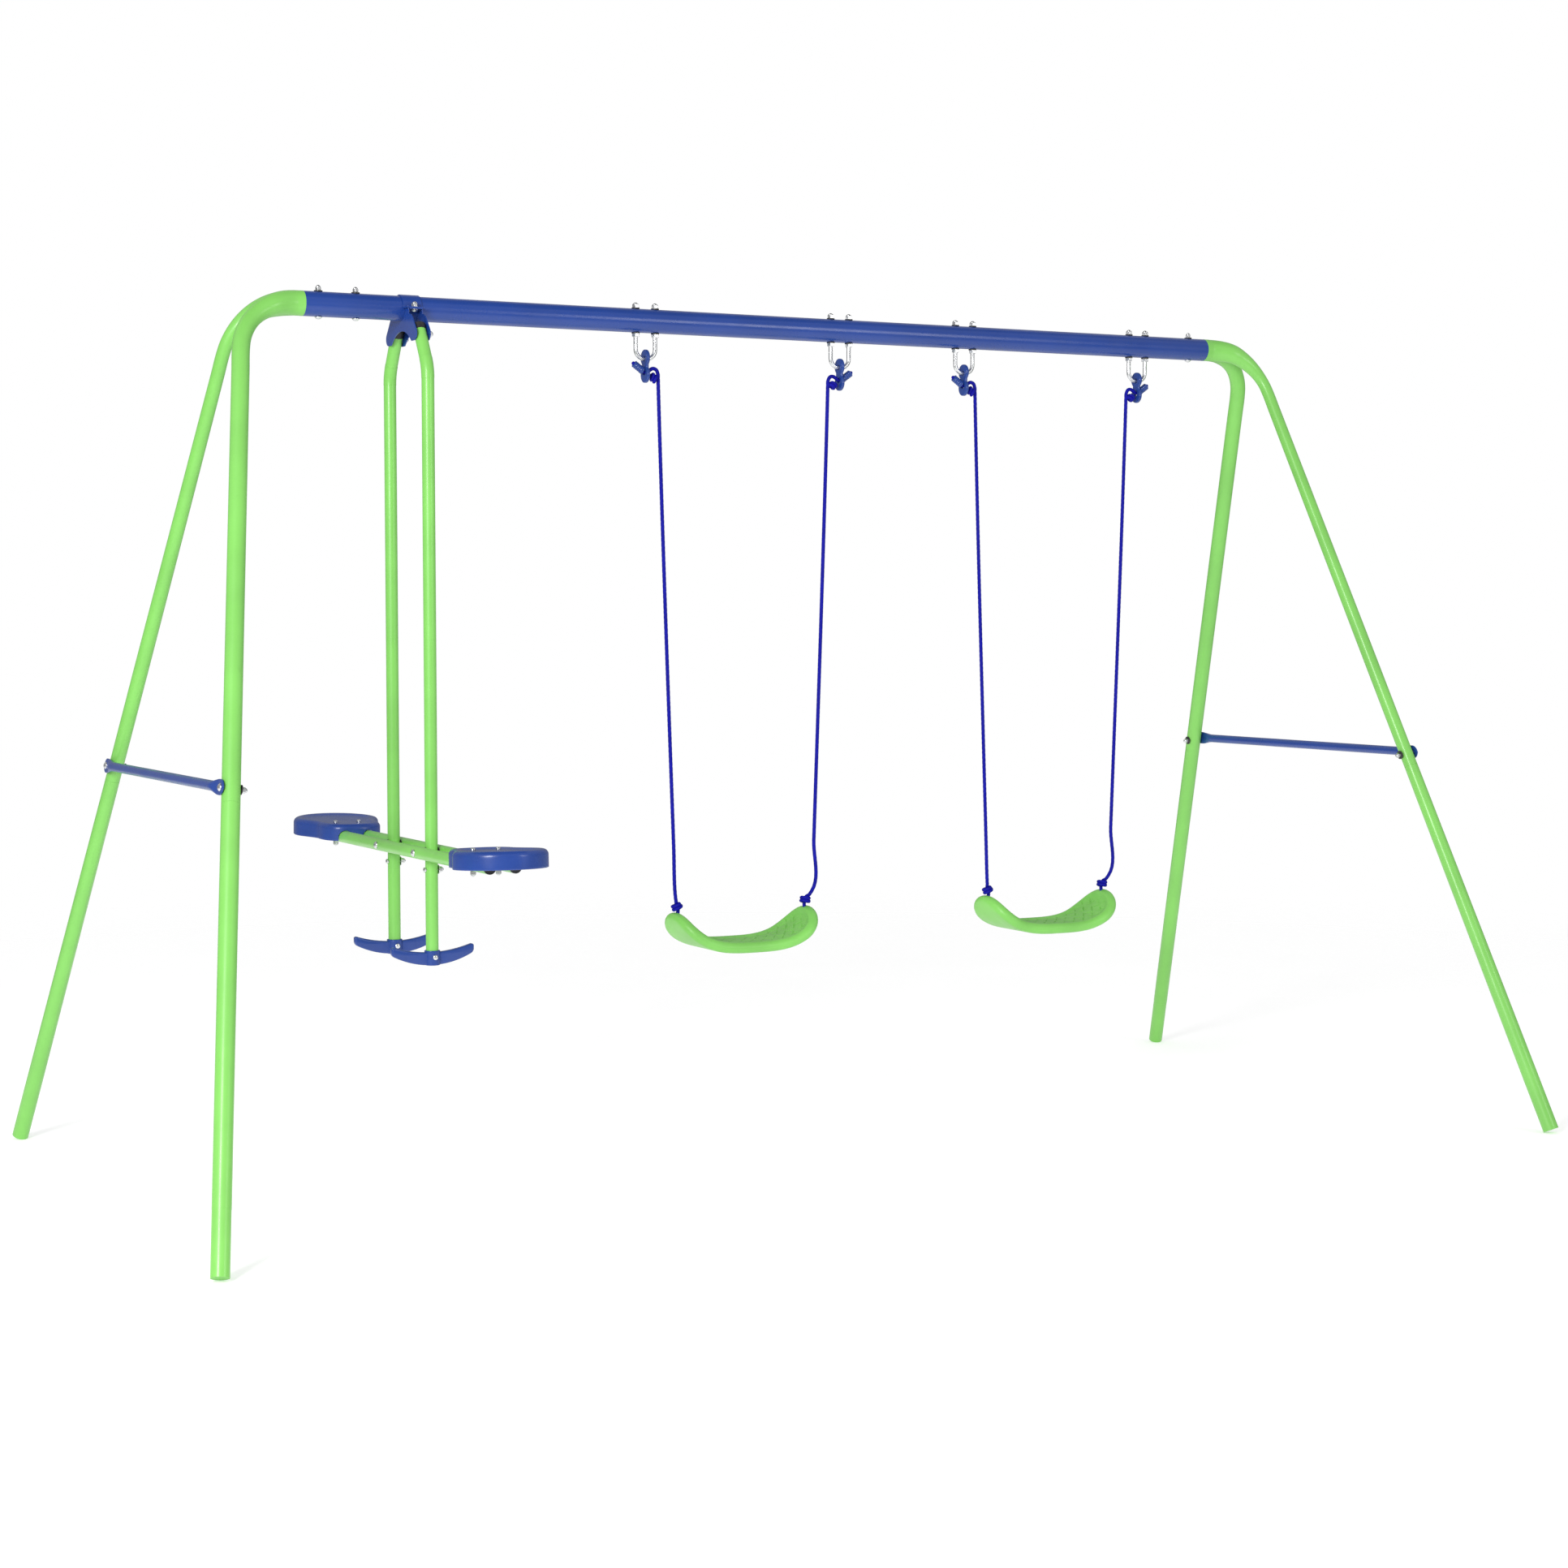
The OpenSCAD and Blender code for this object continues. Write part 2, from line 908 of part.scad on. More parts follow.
module hanger_middle(pivot_r) {
    difference() {
        straight_tube(hanger_seam_drop[0], hanger_seam_drop[1], hanger_spigot[0]);
        cross_hole(-hanger_half, bar_drop, pivot_r);
        cross_hole(-hanger_half, foot_bolt_drop, frame_bolt_r + bore_gap);
    }
}

module rest_bolt_hole(r) {
    translate([0, -hanger_half - cut_long / 2, rest_bolt_up - foot_drop])
        rotate([-90, 0, 0])
            cylinder(h = cut_long, r = r);
}

module hanger_foot() {
    difference() {
        straight_tube(hanger_seam_drop[1], foot_drop - rest_sole, hanger_spigot[1]);
        cross_hole(-hanger_half, foot_bolt_drop, frame_bolt_r + bore_gap);
        rest_bolt_hole(frame_bolt_r + bore_gap);
    }
}

// Crescent between a lower arc and a flatter upper arc, drawn in (X, Z) above the footrest's lowest point
module rest_profile() {
    tip_low = 23;
    tip_high = 41;
    mid_high = 26;
    low_r = (rest_half * rest_half + tip_low * tip_low) / (2 * tip_low);
    high_rise = tip_high - mid_high;
    high_r = (rest_half * rest_half + high_rise * high_rise) / (2 * high_rise);
    intersection() {
        difference() {
            translate([0, low_r])
                circle(low_r, $fn = 180);
            translate([0, mid_high + high_r])
                circle(high_r, $fn = 180);
        }
        translate([-rest_half, 0])
            square([2 * rest_half, tip_high]);
    }
}

module footrest() {
    difference() {
        union() {
            translate([0, -hanger_half, -foot_drop - rest_sole])
                cylinder(h = collar_h, r = collar_r);
            translate([0, -hanger_half + rest_t / 2, -foot_drop - rest_sole])
                rotate([90, 0, 0])
                    linear_extrude(rest_t)
                        rest_profile();
        }
        translate([0, -hanger_half, -foot_drop + rest_sole - 2 * gap])
            cylinder(h = collar_h + cut_past, r = tube_r + gap);
        rest_bolt_hole(frame_bolt_r + bore_gap);
    }
}

// Joint bolt along X and footrest bolt along Y; the second one's head always faces the front
module hanger_bolts(front) {
    translate([-tube_r - gap, -hanger_half, -foot_bolt_drop])
        rotate([0, 90, 0])
            bolt(2 * tube_r + washer_h + bolt_run_out, frame_bolt_r, small_head_r);
    translate([0, -hanger_half - front * (collar_r + gap), rest_bolt_up - foot_drop])
        rotate([-90 * front, 0, 0])
            bolt(2 * collar_r + bolt_run_out, frame_bolt_r, small_head_r);
}

module hanger_nuts(front) {
    translate([tube_r + gap, -hanger_half, -foot_bolt_drop])
        rotate([0, 90, 0]) {
            washer(frame_bolt_r + run_gap);
            translate([0, 0, washer_h])
                cap_nut(frame_bolt_r + run_gap);
        }
    translate([0, -hanger_half + front * (collar_r + gap), rest_bolt_up - foot_drop])
        rotate([-90 * front, 0, 0])
            cap_nut(frame_bolt_r + run_gap);
}

module rear() {
    mirror([0, 1, 0])
        children();
}

module front_hanger_top() {
    color(green)
        at_glider()
            hanger_top();
}

module front_hanger_cap() {
    color(black)
        at_glider()
            hanger_cap();
}

module front_hanger_middle() {
    color(green)
        at_glider()
            hanger_middle(m8_r + run_gap);
}

module front_hanger_foot() {
    color(green)
        at_glider()
            hanger_foot();
}

module front_footrest() {
    color(blue)
        at_glider()
            footrest();
}

module front_hanger_bolts() {
    color(silver)
        at_glider()
            hanger_bolts(1);
}

module front_hanger_nuts() {
    color(silver)
        at_glider()
            hanger_nuts(1);
}

module rear_hanger_top() {
    color(green)
        at_glider()
            rear()
                hanger_top();
}

module rear_hanger_cap() {
    color(black)
        at_glider()
            rear()
                hanger_cap();
}

module rear_hanger_middle() {
    color(green)
        at_glider()
            rear()
                hanger_middle(open_pivot_r);
}

module rear_hanger_foot() {
    color(green)
        at_glider()
            rear()
                hanger_foot();
}

module rear_footrest() {
    color(blue)
        at_glider()
            rear()
                footrest();
}

module rear_hanger_bolts() {
    color(silver)
        at_glider()
            rear()
                hanger_bolts(-1);
}

module rear_hanger_nuts() {
    color(silver)
        at_glider()
            rear()
                hanger_nuts(-1);
}

// ---- seat bars ----

module seat_bar(side) {
    color(green)
        at_glider()
            difference() {
                translate([side * bar_x, bar_length / 2, -bar_drop])
                    rotate([90, 0, 0])
                        difference() {
                            cylinder(h = bar_length, r = tube_r);
                            translate([0, 0, -cut])
                                cylinder(h = bar_length + 2 * cut, r = tube_r - wall);
                        }
                for (y = [-hanger_half, hanger_half])
                    cross_hole(y, bar_drop, m8_r + run_gap);
                for (y = [-seat_bolt_y, seat_bolt_y])
                    translate([side * bar_x, y, -bar_drop - cut_long / 2])
                        cylinder(h = cut_long, r = frame_bolt_r + bore_gap);
            }
}

module left_seat_bar() {
    seat_bar(-1);
}

module right_seat_bar() {
    seat_bar(1);
}

module bar_end_plugs() {
    color(black)
        at_glider()
            for (x = [-bar_x, bar_x], side = [-1, 1])
                translate([x, side * bar_length / 2, -bar_drop])
                    rotate([-90 * side, 0, 0]) {
                        translate([0, 0, gap])
                            cylinder(h = bar_plug_head, r = tube_r);
                        translate([0, 0, -bar_plug_depth])
                            cylinder(h = bar_plug_depth + 2 * gap, r = tube_r - wall - gap);
                    }
}

module each_bar_pivot() {
    at_glider()
        for (y = [-hanger_half, hanger_half])
            translate([0, y, -bar_drop])
                rotate([0, 90, 0])
                    children();
}

module bar_spacers() {
    thin = bar_half_gap - 2 * run_gap;
    color(black)
        each_bar_pivot()
            for (side = [-1, 1])
                translate([0, 0, side * (tube_r + bar_half_gap / 2) - thin / 2])
                    washer(m8_r + run_gap, spacer_r, thin);
}

bar_out = bar_x + tube_r;

module bar_pivot_bolts() {
    color(silver)
        each_bar_pivot()
            translate([0, 0, -bar_out - gap])
                bolt(2 * bar_out + bolt_run_out);
}

module bar_pivot_nuts() {
    color(silver)
        each_bar_pivot()
            translate([0, 0, bar_out + gap])
                cap_nut();
}

// ---- glider seats: drawn for the rear one, mirrored for the front one ----

module seat_outline(inset) {
    hull() {
        translate([0, seat_outer_y])
            circle(seat_outer_r - inset);
        translate([0, seat_inner_y])
            circle(seat_inner_r - inset);
    }
}

// Dished top with a skirt, in its own level frame
module seat_shell() {
    difference() {
        translate([0, 0, seat_skirt_low])
            linear_extrude(seat_top - seat_skirt_low)
                seat_outline(0);
        translate([0, 0, seat_skirt_low - cut])
            linear_extrude(seat_floor - seat_skirt_low - seat_skin + cut)
                seat_outline(seat_skin);
        translate([0, 0, seat_floor + seat_dish])
            linear_extrude(seat_top)
                seat_outline(seat_rim);
    }
}

// The shell tips up about its inner end; the bars run level beneath it
module glider_seat() {
    translate([0, 0, -bar_drop])
        difference() {
            translate([0, seat_hinge_y, 0])
                rotate([seat_tip, 0, 0])
                    translate([0, -seat_hinge_y, 0])
                        seat_shell();
            for (x = [-bar_x, bar_x]) {
                translate([x, bar_length / 2 + cut_past, 0])
                    rotate([90, 0, 0])
                        cylinder(h = bar_length / 2, r = bar_channel_r);
                translate([x - bar_channel_r, cut_past, 2 * seat_skirt_low])
                    cube([2 * bar_channel_r, bar_length / 2, -2 * seat_skirt_low]);
                translate([x, seat_bolt_y, 0])
                    cylinder(h = cut_long, r = frame_bolt_r + bore_gap);
            }
        }
}

module rear_glider_seat() {
    color(blue)
        at_glider()
            glider_seat();
}

module front_glider_seat() {
    color(blue)
        at_glider()
            rear()
                glider_seat();
}

module each_seat_bolt() {
    at_glider()
        for (x = [-bar_x, bar_x], y = [-seat_bolt_y, seat_bolt_y])
            translate([x, y, -bar_drop])
                children();
}

module glider_seat_bolts() {
    color(silver)
        each_seat_bolt()
            translate([0, 0, seat_bolt_up])
                rotate([180, 0, 0])
                    bolt(seat_bolt_up + tube_r + bolt_run_out, frame_bolt_r, small_head_r);
}

module glider_seat_nuts() {
    color(silver)
        each_seat_bolt()
            translate([0, 0, -tube_r - gap])
                rotate([180, 0, 0])
                    cap_nut(frame_bolt_r + run_gap);
}

// ---- rope swings: drawn for the right-hand side of a swing, mirrored for the left ----

module both_sides(x) {
    translate([x, 0, beam_height])
        for (side = [0, 1])
            mirror([side, 0, 0])
                children();
}

module link() {
    translate([swing_width / 2, 0, link_rise - u_drop])
        difference() {
            across(link_t)
                difference() {
                    union() {
                        circle(link_r);
                        translate([0, -link_pitch])
                            circle(link_r);
                        translate([-link_waist / 2, -link_pitch])
                            square([link_waist, link_pitch]);
                    }
                    translate([0, -link_rise])
                        circle(link_hole_r);
                    translate([0, u_drop - link_rise - rope_hole_drop])
                        circle(rope_hole_r);
                }
        }
}

sleeve_out = [cos(sleeve_tilt), 0, sin(sleeve_tilt)];
sleeve_start = [swing_width / 2 + sleeve_root.x, 0, sleeve_root.y - rope_hole_drop];

// Moulded grip that holds the cut end of the rope
module rope_sleeve() {
    difference() {
        rod(sleeve_start, sleeve_start + sleeve_length * sleeve_out, sleeve_r);
        rod(sleeve_start - cut * sleeve_out, sleeve_start + (sleeve_length + cut) * sleeve_out, rope_corner_r + gap);
    }
}

rope_turn = [swing_width / 2 - rope_inboard, 0, -rope_hole_drop];
rope_low = [rope_bottom_half, 0, -seat_drop + knot_up + knot_h];
rope_knot = [rope_end_half, seat_back, -seat_drop + knot_up - knot_h / 2];
rope_end = [rope_end_half, seat_back, seat_pivot_z - rope_r];

module rope() {
    rod(sleeve_start + (sleeve_length + rope_tip) * sleeve_out, sleeve_start, rope_r);
    rod(sleeve_start, rope_turn, rope_r);
    for (corner = [sleeve_start, rope_turn, rope_low])
        translate(corner)
            sphere(r = rope_corner_r);
    rod(rope_turn, rope_low, rope_r);
    rod(rope_low, rope_knot, rope_r);
    rod(rope_knot - [0, 0, knot_h / 2], rope_knot + [0, 0, knot_h / 2], knot_r);
    rod(rope_knot, rope_end, rope_r);
}

// Profile of the seat in (X, Z): a thick arc whose ends are cut square to it
module swing_seat_profile() {
    intersection() {
        difference() {
            circle(swing_arc_r + swing_seat_t / 2, $fn = 180);
            circle(swing_arc_r - swing_seat_t / 2, $fn = 180);
        }
        polygon([
            [0, 0],
            2 * swing_arc_r * [-sin(swing_arc_angle), -cos(swing_arc_angle)],
            2 * swing_arc_r * [sin(swing_arc_angle), -cos(swing_arc_angle)]
        ]);
    }
}

module swing_seat() {
    round_r = swing_seat_w / 2;
    difference() {
        intersection() {
            translate([0, round_r, swing_arc_z])
                rotate([90, 0, 0])
                    linear_extrude(2 * round_r)
                        swing_seat_profile();
            translate([0, 0, -seat_drop - swing_seat_rise])
                linear_extrude(swing_seat_rise) {
                    square([2 * (swing_seat_half - round_r), 2 * round_r], center = true);
                    for (side = [-1, 1])
                        translate([side * (swing_seat_half - round_r), 0])
                            circle(round_r);
                }
        }
        for (side = [-1, 1])
            translate([side * rope_end_half, 0, seat_pivot_z])
                sphere(r = rope_socket_r);
    }
}

module swing_links(x) {
    color(blue)
        both_sides(x)
            link();
}

module swing_rope_sleeves(x) {
    color(blue)
        both_sides(x)
            rope_sleeve();
}

module swing_ropes(x) {
    color(rope_blue)
        both_sides(x)
            rope();
}

module swing_seat_at(x) {
    color(green)
        translate([x, seat_back, beam_height])
            swing_seat();
}

module swing_1_links() {
    swing_links(swing_1_x);
}

module swing_1_rope_sleeves() {
    swing_rope_sleeves(swing_1_x);
}

module swing_1_ropes() {
    swing_ropes(swing_1_x);
}

module swing_1_seat() {
    swing_seat_at(swing_1_x);
}

module swing_2_links() {
    swing_links(swing_2_x);
}

module swing_2_rope_sleeves() {
    swing_rope_sleeves(swing_2_x);
}

module swing_2_ropes() {
    swing_ropes(swing_2_x);
}

module swing_2_seat() {
    swing_seat_at(swing_2_x);
}

// ---- one line per sub-part ----

left_end_frame();
right_end_frame();
left_front_leg();
left_rear_leg();
right_front_leg();
right_rear_leg();
foot_plugs();
left_brace();
right_brace();
brace_bolts();
brace_washers();
brace_nuts();
beam_left();
beam_middle();
beam_right();
beam_bolts();
beam_washers();
beam_nuts();
u_bolts();
u_bolt_lock_nuts();
u_bolt_cap_nuts();
glider_bracket();
glider_strap();
bracket_bolts();
bracket_nuts();
hanger_pivot_studs();
hanger_pivot_nuts();
front_hanger_top();
front_hanger_cap();
front_hanger_middle();
front_hanger_foot();
front_footrest();
front_hanger_bolts();
front_hanger_nuts();
rear_hanger_top();
rear_hanger_cap();
rear_hanger_middle();
rear_hanger_foot();
rear_footrest();
rear_hanger_bolts();
rear_hanger_nuts();
left_seat_bar();
right_seat_bar();
bar_end_plugs();
bar_spacers();
bar_pivot_bolts();
bar_pivot_nuts();
front_glider_seat();
rear_glider_seat();
glider_seat_bolts();
glider_seat_nuts();
swing_1_links();
swing_1_rope_sleeves();
swing_1_ropes();
swing_1_seat();
swing_2_links();
swing_2_rope_sleeves();
swing_2_ropes();
swing_2_seat();
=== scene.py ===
"""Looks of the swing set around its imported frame.

It paints the frame's nodes, puts moulded, braided and bent pieces in the place of their plain solids, and
adds a floor, studio light and a camera. Lengths are metres; X runs along the beam, Y front to back, Z up.
"""

import json
import math

import bpy
import numpy as np
from mathutils import Euler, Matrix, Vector


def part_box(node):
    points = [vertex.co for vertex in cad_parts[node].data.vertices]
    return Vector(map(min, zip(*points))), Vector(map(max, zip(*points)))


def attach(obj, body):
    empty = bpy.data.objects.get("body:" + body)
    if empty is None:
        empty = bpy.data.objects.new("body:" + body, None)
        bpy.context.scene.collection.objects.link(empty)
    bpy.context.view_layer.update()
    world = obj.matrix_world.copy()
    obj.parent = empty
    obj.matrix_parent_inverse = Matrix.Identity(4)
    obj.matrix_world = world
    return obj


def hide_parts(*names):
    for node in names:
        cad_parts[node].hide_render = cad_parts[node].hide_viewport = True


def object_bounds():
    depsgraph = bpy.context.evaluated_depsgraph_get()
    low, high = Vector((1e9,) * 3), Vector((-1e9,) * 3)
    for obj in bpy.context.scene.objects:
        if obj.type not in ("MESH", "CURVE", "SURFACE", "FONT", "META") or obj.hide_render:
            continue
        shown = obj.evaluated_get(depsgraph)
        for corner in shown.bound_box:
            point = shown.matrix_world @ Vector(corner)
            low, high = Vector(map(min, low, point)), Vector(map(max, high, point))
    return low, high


MM = 0.001

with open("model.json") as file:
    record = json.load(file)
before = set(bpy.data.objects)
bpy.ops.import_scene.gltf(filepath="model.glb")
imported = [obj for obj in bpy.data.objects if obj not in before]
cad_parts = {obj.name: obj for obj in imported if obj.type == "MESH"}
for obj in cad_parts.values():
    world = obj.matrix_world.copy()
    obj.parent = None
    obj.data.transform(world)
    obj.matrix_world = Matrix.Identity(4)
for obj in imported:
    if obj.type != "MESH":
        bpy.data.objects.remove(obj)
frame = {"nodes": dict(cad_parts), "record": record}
cad_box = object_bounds()
nodes = frame["nodes"]
slot_of = {s["node"]: s["material_slot"] for s in frame["record"]["subparts"]}
mounts = {m["name"]: m for m in frame["record"]["mounts"]}


# ---- materials ----

class Nodes:
    """A node tree under construction, with short ways to fill it."""

    def __init__(self, tree):
        self.tree = tree

    def add(self, kind, inputs=None, **settings):
        """Adds a node with its properties, and with inputs that are values or other nodes' outputs."""
        node = self.tree.nodes.new(kind)
        for key, value in settings.items():
            setattr(node, key, value)
        self.put(node, inputs or {})
        return node

    def put(self, node, inputs):
        """Sets a node's inputs to values or to other nodes' outputs."""
        for key, value in inputs.items():
            if isinstance(value, bpy.types.NodeSocket):
                self.tree.links.new(value, node.inputs[key])
            else:
                node.inputs[key].default_value = value


class Shader(Nodes):
    """A material under construction, in the object's own coordinates."""

    edge_rounding = 0.9 * MM
    bevel_samples = 4

    def __init__(self, name):
        self.material = bpy.data.materials.new(name)
        self.material.use_nodes = True
        super().__init__(self.material.node_tree)
        self.place = self.add("ShaderNodeTexCoord").outputs["Object"]

    def surface(self, inputs):
        self.put(self.tree.nodes["Principled BSDF"], inputs)

    def noise(self, scale, detail=3.0, roughness=0.5, stretch=None):
        """A noise factor. The scale is in features per metre, before any stretch along the three axes."""
        place = self.place
        if stretch is not None:
            mapping = self.add("ShaderNodeMapping", {"Scale": stretch, "Vector": place})
            place = mapping.outputs["Vector"]
        inputs = {"Scale": scale, "Detail": detail, "Roughness": roughness, "Vector": place}
        return self.add("ShaderNodeTexNoise", inputs).outputs["Fac"]

    def ramp(self, factor, low, high, at=(0.0, 1.0)):
        """Turns a factor into a blend from low to high, which are both colours or both numbers."""
        grey = not isinstance(low, tuple)
        ramp = self.add("ShaderNodeValToRGB", {"Fac": factor})
        for element, value, position in zip(ramp.color_ramp.elements, (low, high), at):
            element.color = (value, value, value, 1) if grey else (*value, 1)
            element.position = position
        return ramp.outputs["Color"]

    def mix(self, factor, base, color):
        """Blends another node's colour into a plain one by a factor."""
        inputs = {0: factor, 6: base, 7: (*color, 1)}
        return self.add("ShaderNodeMix", inputs, data_type="RGBA").outputs[2]

    def rounded(self, radius):
        """The surface's normal with its edges rounded off."""
        bevel = self.add("ShaderNodeBevel", {"Radius": radius}, samples=self.bevel_samples)
        return bevel.outputs["Normal"]

    def bump(self, *layers):
        """Stacks (height, distance, strength) layers into the shader's normal, over rounded edges."""
        normal = self.rounded(self.edge_rounding)
        for height, distance, strength in layers:
            inputs = {"Distance": distance, "Strength": strength, "Height": height, "Normal": normal}
            normal = self.add("ShaderNodeBump", inputs).outputs["Normal"]
        self.surface({"Normal": normal})

    def edges(self, radius):
        """A factor that is high on edges, from how far a rounded normal turns away from the true one. The
        materials mix a painted edge highlight by it.
        """
        true = self.add("ShaderNodeNewGeometry").outputs["Normal"]
        normals = {0: self.rounded(radius), 1: true}
        turned = self.add("ShaderNodeVectorMath", normals, operation="DOT_PRODUCT")
        return self.ramp(turned.outputs["Value"], 1.0, 0.0, at=(0.75, 0.98))


def scaled(color, share):
    return tuple(min(1.0, c * share) for c in color)


def powder_coat(name, color, roughness):
    """Sprayed and baked paint: fine orange peel, faint scuffs and a painted highlight on the edges."""
    s = Shader(name)
    cloudy = s.ramp(s.noise(7, detail=4), scaled(color, 0.93), scaled(color, 1.05), at=(0.35, 0.65))
    rubs = s.noise(38, detail=6, roughness=0.65, stretch=(1, 1, 0.25))
    scuffs = s.ramp(rubs, 0.0, 1.0, at=(0.66, 0.78))
    # Painted highlight: the edges are painted paler, in place of light catching them.
    painted_edge_highlight = s.mix(s.edges(1.2 * MM), cloudy, scaled(color, 1.22))
    s.surface({
        "Base Color": s.mix(scuffs, painted_edge_highlight, scaled(color, 0.86)),
        "Roughness": s.ramp(s.noise(16, detail=4), roughness - 0.05, roughness + 0.09, at=(0.3, 0.7)),
        "Coat Weight": 0.25,
        "Coat Roughness": 0.16,
    })
    orange_peel = s.noise(520, detail=2)
    s.bump((orange_peel, 0.25 * MM, 0.12), (scuffs, 0.1 * MM, 0.15))
    return s.material


def moulded_plastic(name, color, roughness, grain, grain_scale):
    """Blow-moulded or injected plastic: a pebbled grain, a little uneven gloss and a painted highlight on
    the edges.
    """
    s = Shader(name)
    cloudy = s.ramp(s.noise(11), scaled(color, 0.92), scaled(color, 1.07), at=(0.35, 0.65))
    s.surface({
        # Painted highlight: the edges are painted paler, in place of light catching them.
        "Base Color": s.mix(s.edges(1.5 * MM), cloudy, scaled(color, 1.18)),
        "Roughness": s.ramp(s.noise(24), roughness - 0.04, roughness + 0.06, at=(0.3, 0.7)),
        "Subsurface Weight": 0.06,
        "Subsurface Radius": (4 * MM, 4 * MM, 4 * MM),
    })
    pebble = s.add("ShaderNodeTexVoronoi", {"Vector": s.place, "Scale": grain_scale}, feature="SMOOTH_F1")
    waviness = s.noise(90)
    s.bump((pebble.outputs["Distance"], 0.4 * MM, grain), (waviness, 0.3 * MM, 0.03))
    return s.material


def bright_steel(name):
    """Zinc-plated steel: blotchy spangle, fine turning marks and a painted highlight on the edges."""
    s = Shader(name)
    spangle = s.noise(60, detail=5, roughness=0.6)
    plating = s.ramp(spangle, (0.56, 0.57, 0.58), (0.88, 0.89, 0.9), at=(0.3, 0.7))
    s.surface({
        # Painted highlight: the edges are painted brighter, in place of light catching them.
        "Base Color": s.mix(s.edges(0.8 * MM), plating, (0.97, 0.97, 0.97)),
        "Metallic": 1.0,
        "Roughness": s.ramp(s.noise(140, detail=4), 0.2, 0.38, at=(0.3, 0.7)),
    })
    turning_marks = s.noise(900, detail=2, stretch=(1, 1, 4))
    s.bump((turning_marks, 0.08 * MM, 0.2), (s.noise(70), 0.2 * MM, 0.1))
    return s.material


def black_rubbery(name):
    """Soft black plastic: matt, with a dusty bloom, a fine leathery grain and a painted highlight on the
    edges.
    """
    s = Shader(name)
    dust = s.noise(30, detail=5, roughness=0.6)
    bloom = s.ramp(dust, (0.012, 0.012, 0.014), (0.035, 0.035, 0.038), at=(0.4, 0.75))
    s.surface({
        # Painted highlight: the edges are painted paler, in place of light catching them.
        "Base Color": s.mix(s.edges(1 * MM), bloom, (0.05, 0.05, 0.055)),
        "Roughness": s.ramp(s.noise(80), 0.42, 0.6),
    })
    s.bump((s.noise(700), 0.2 * MM, 0.25))
    return s.material


def braided_rope(name, color):
    """Polypropylene braid: tight yarns, paler on the crowns."""
    s = Shader(name)
    yarn = s.noise(900, detail=2, stretch=(1, 1, 0.35))
    crowns = s.ramp(yarn, 0.0, 0.45, at=(0.35, 0.75))
    soft = s.ramp(s.noise(55), scaled(color, 0.8), scaled(color, 1.15), at=(0.3, 0.7))
    s.surface({
        "Base Color": s.mix(crowns, soft, scaled(color, 1.3)),
        "Roughness": s.ramp(yarn, 0.5, 0.7),
        "Specular IOR Level": 0.15,
    })
    s.bump((yarn, 0.3 * MM, 0.4))
    return s.material


GREEN = (0.2, 0.56, 0.1)
BEAM_BLUE = (0.008, 0.045, 0.26)
PLASTIC_BLUE = (0.015, 0.05, 0.25)
ROPE_BLUE = (0.0025, 0.003, 0.27)
materials = {
    "green_steel": powder_coat("green_steel", GREEN, 0.38),
    "green_plug": moulded_plastic("green_plug", scaled(GREEN, 0.9), 0.45, grain=0.15, grain_scale=700),
    "blue_steel": powder_coat("blue_steel", BEAM_BLUE, 0.27),
    "bright_steel": bright_steel("bright_steel"),
    "black_plastic": black_rubbery("black_plastic"),
    "blue_plastic": moulded_plastic("blue_plastic", PLASTIC_BLUE, 0.24, grain=0.04, grain_scale=600),
    "green_plastic": moulded_plastic("green_plastic", GREEN, 0.4, grain=0.5, grain_scale=380),
    "rope": braided_rope("rope", ROPE_BLUE),
}


def dress_cad_nodes():
    for name, obj in nodes.items():
        obj.data.materials.clear()
        obj.data.materials.append(materials[slot_of[name]])


# ---- shared mesh tools ----

def unit(v):
    return v / np.linalg.norm(v)


def smooth(t):
    """Eases from 0 to 1 with t, and stays there outside that range."""
    t = np.clip(t, 0, 1)
    return t * t * (3 - 2 * t)


def running_length(points):
    """Distance along a chain of points, at each point."""
    return np.concatenate([[0], np.cumsum(np.linalg.norm(np.diff(points, axis=0), axis=1))])


def smooth_path(points, step):
    """Curve through points, sampled about every step. It doesn't overshoot where the spacing is uneven."""
    p = np.array(points, float)
    lengths = np.linalg.norm(np.diff(p, axis=0), axis=1)
    ways = np.diff(p, axis=0) / lengths[:, None]
    tangents = [ways[0]]
    for way_in, way_out, before, after in zip(ways, ways[1:], lengths, lengths[1:]):
        tangents.append((way_in * after + way_out * before) / (before + after))
    tangents.append(ways[-1])
    out = []
    for a, b, m, n, length in zip(p, p[1:], tangents, tangents[1:], lengths):
        count = max(2, int(length / step))
        for t in np.arange(count) / count:
            out.append((1 + 2 * t) * (1 - t) ** 2 * a + t * (1 - t) ** 2 * length * m
                       + t * t * (3 - 2 * t) * b + t * t * (t - 1) * length * n)
    out.append(p[-1])
    return np.array(out)


def tube_rings(path, radius, sides):
    """Rings of points around a path. radius(distance along it, angles) gives their distances from it."""
    any_slanting_way = (0.31, 0.87, 0.38)
    tangents = np.gradient(path, axis=0)
    tangents /= np.linalg.norm(tangents, axis=1)[:, None]
    side = unit(np.cross(tangents[0], any_slanting_way))
    angle = np.arange(sides) * 2 * math.pi / sides
    rings = []
    for point, tangent, at in zip(path, tangents, running_length(path)):
        side = unit(side - tangent * side.dot(tangent))
        other = np.cross(tangent, side)
        r = radius(at, angle)
        rings.append(point + (r * np.cos(angle))[:, None] * side + (r * np.sin(angle))[:, None] * other)
    return rings


def ring_faces(count, sides, start=0, closed_ends=True):
    """Quads between count rings of sides points, with a polygon on each end."""
    faces = []
    for i in range(count - 1):
        for j in range(sides):
            a, b = start + i * sides + j, start + i * sides + (j + 1) % sides
            faces.append((a, b, b + sides, a + sides))
    if closed_ends:
        faces.append(tuple(start + j for j in reversed(range(sides))))
        faces.append(tuple(start + (count - 1) * sides + j for j in range(sides)))
    return faces


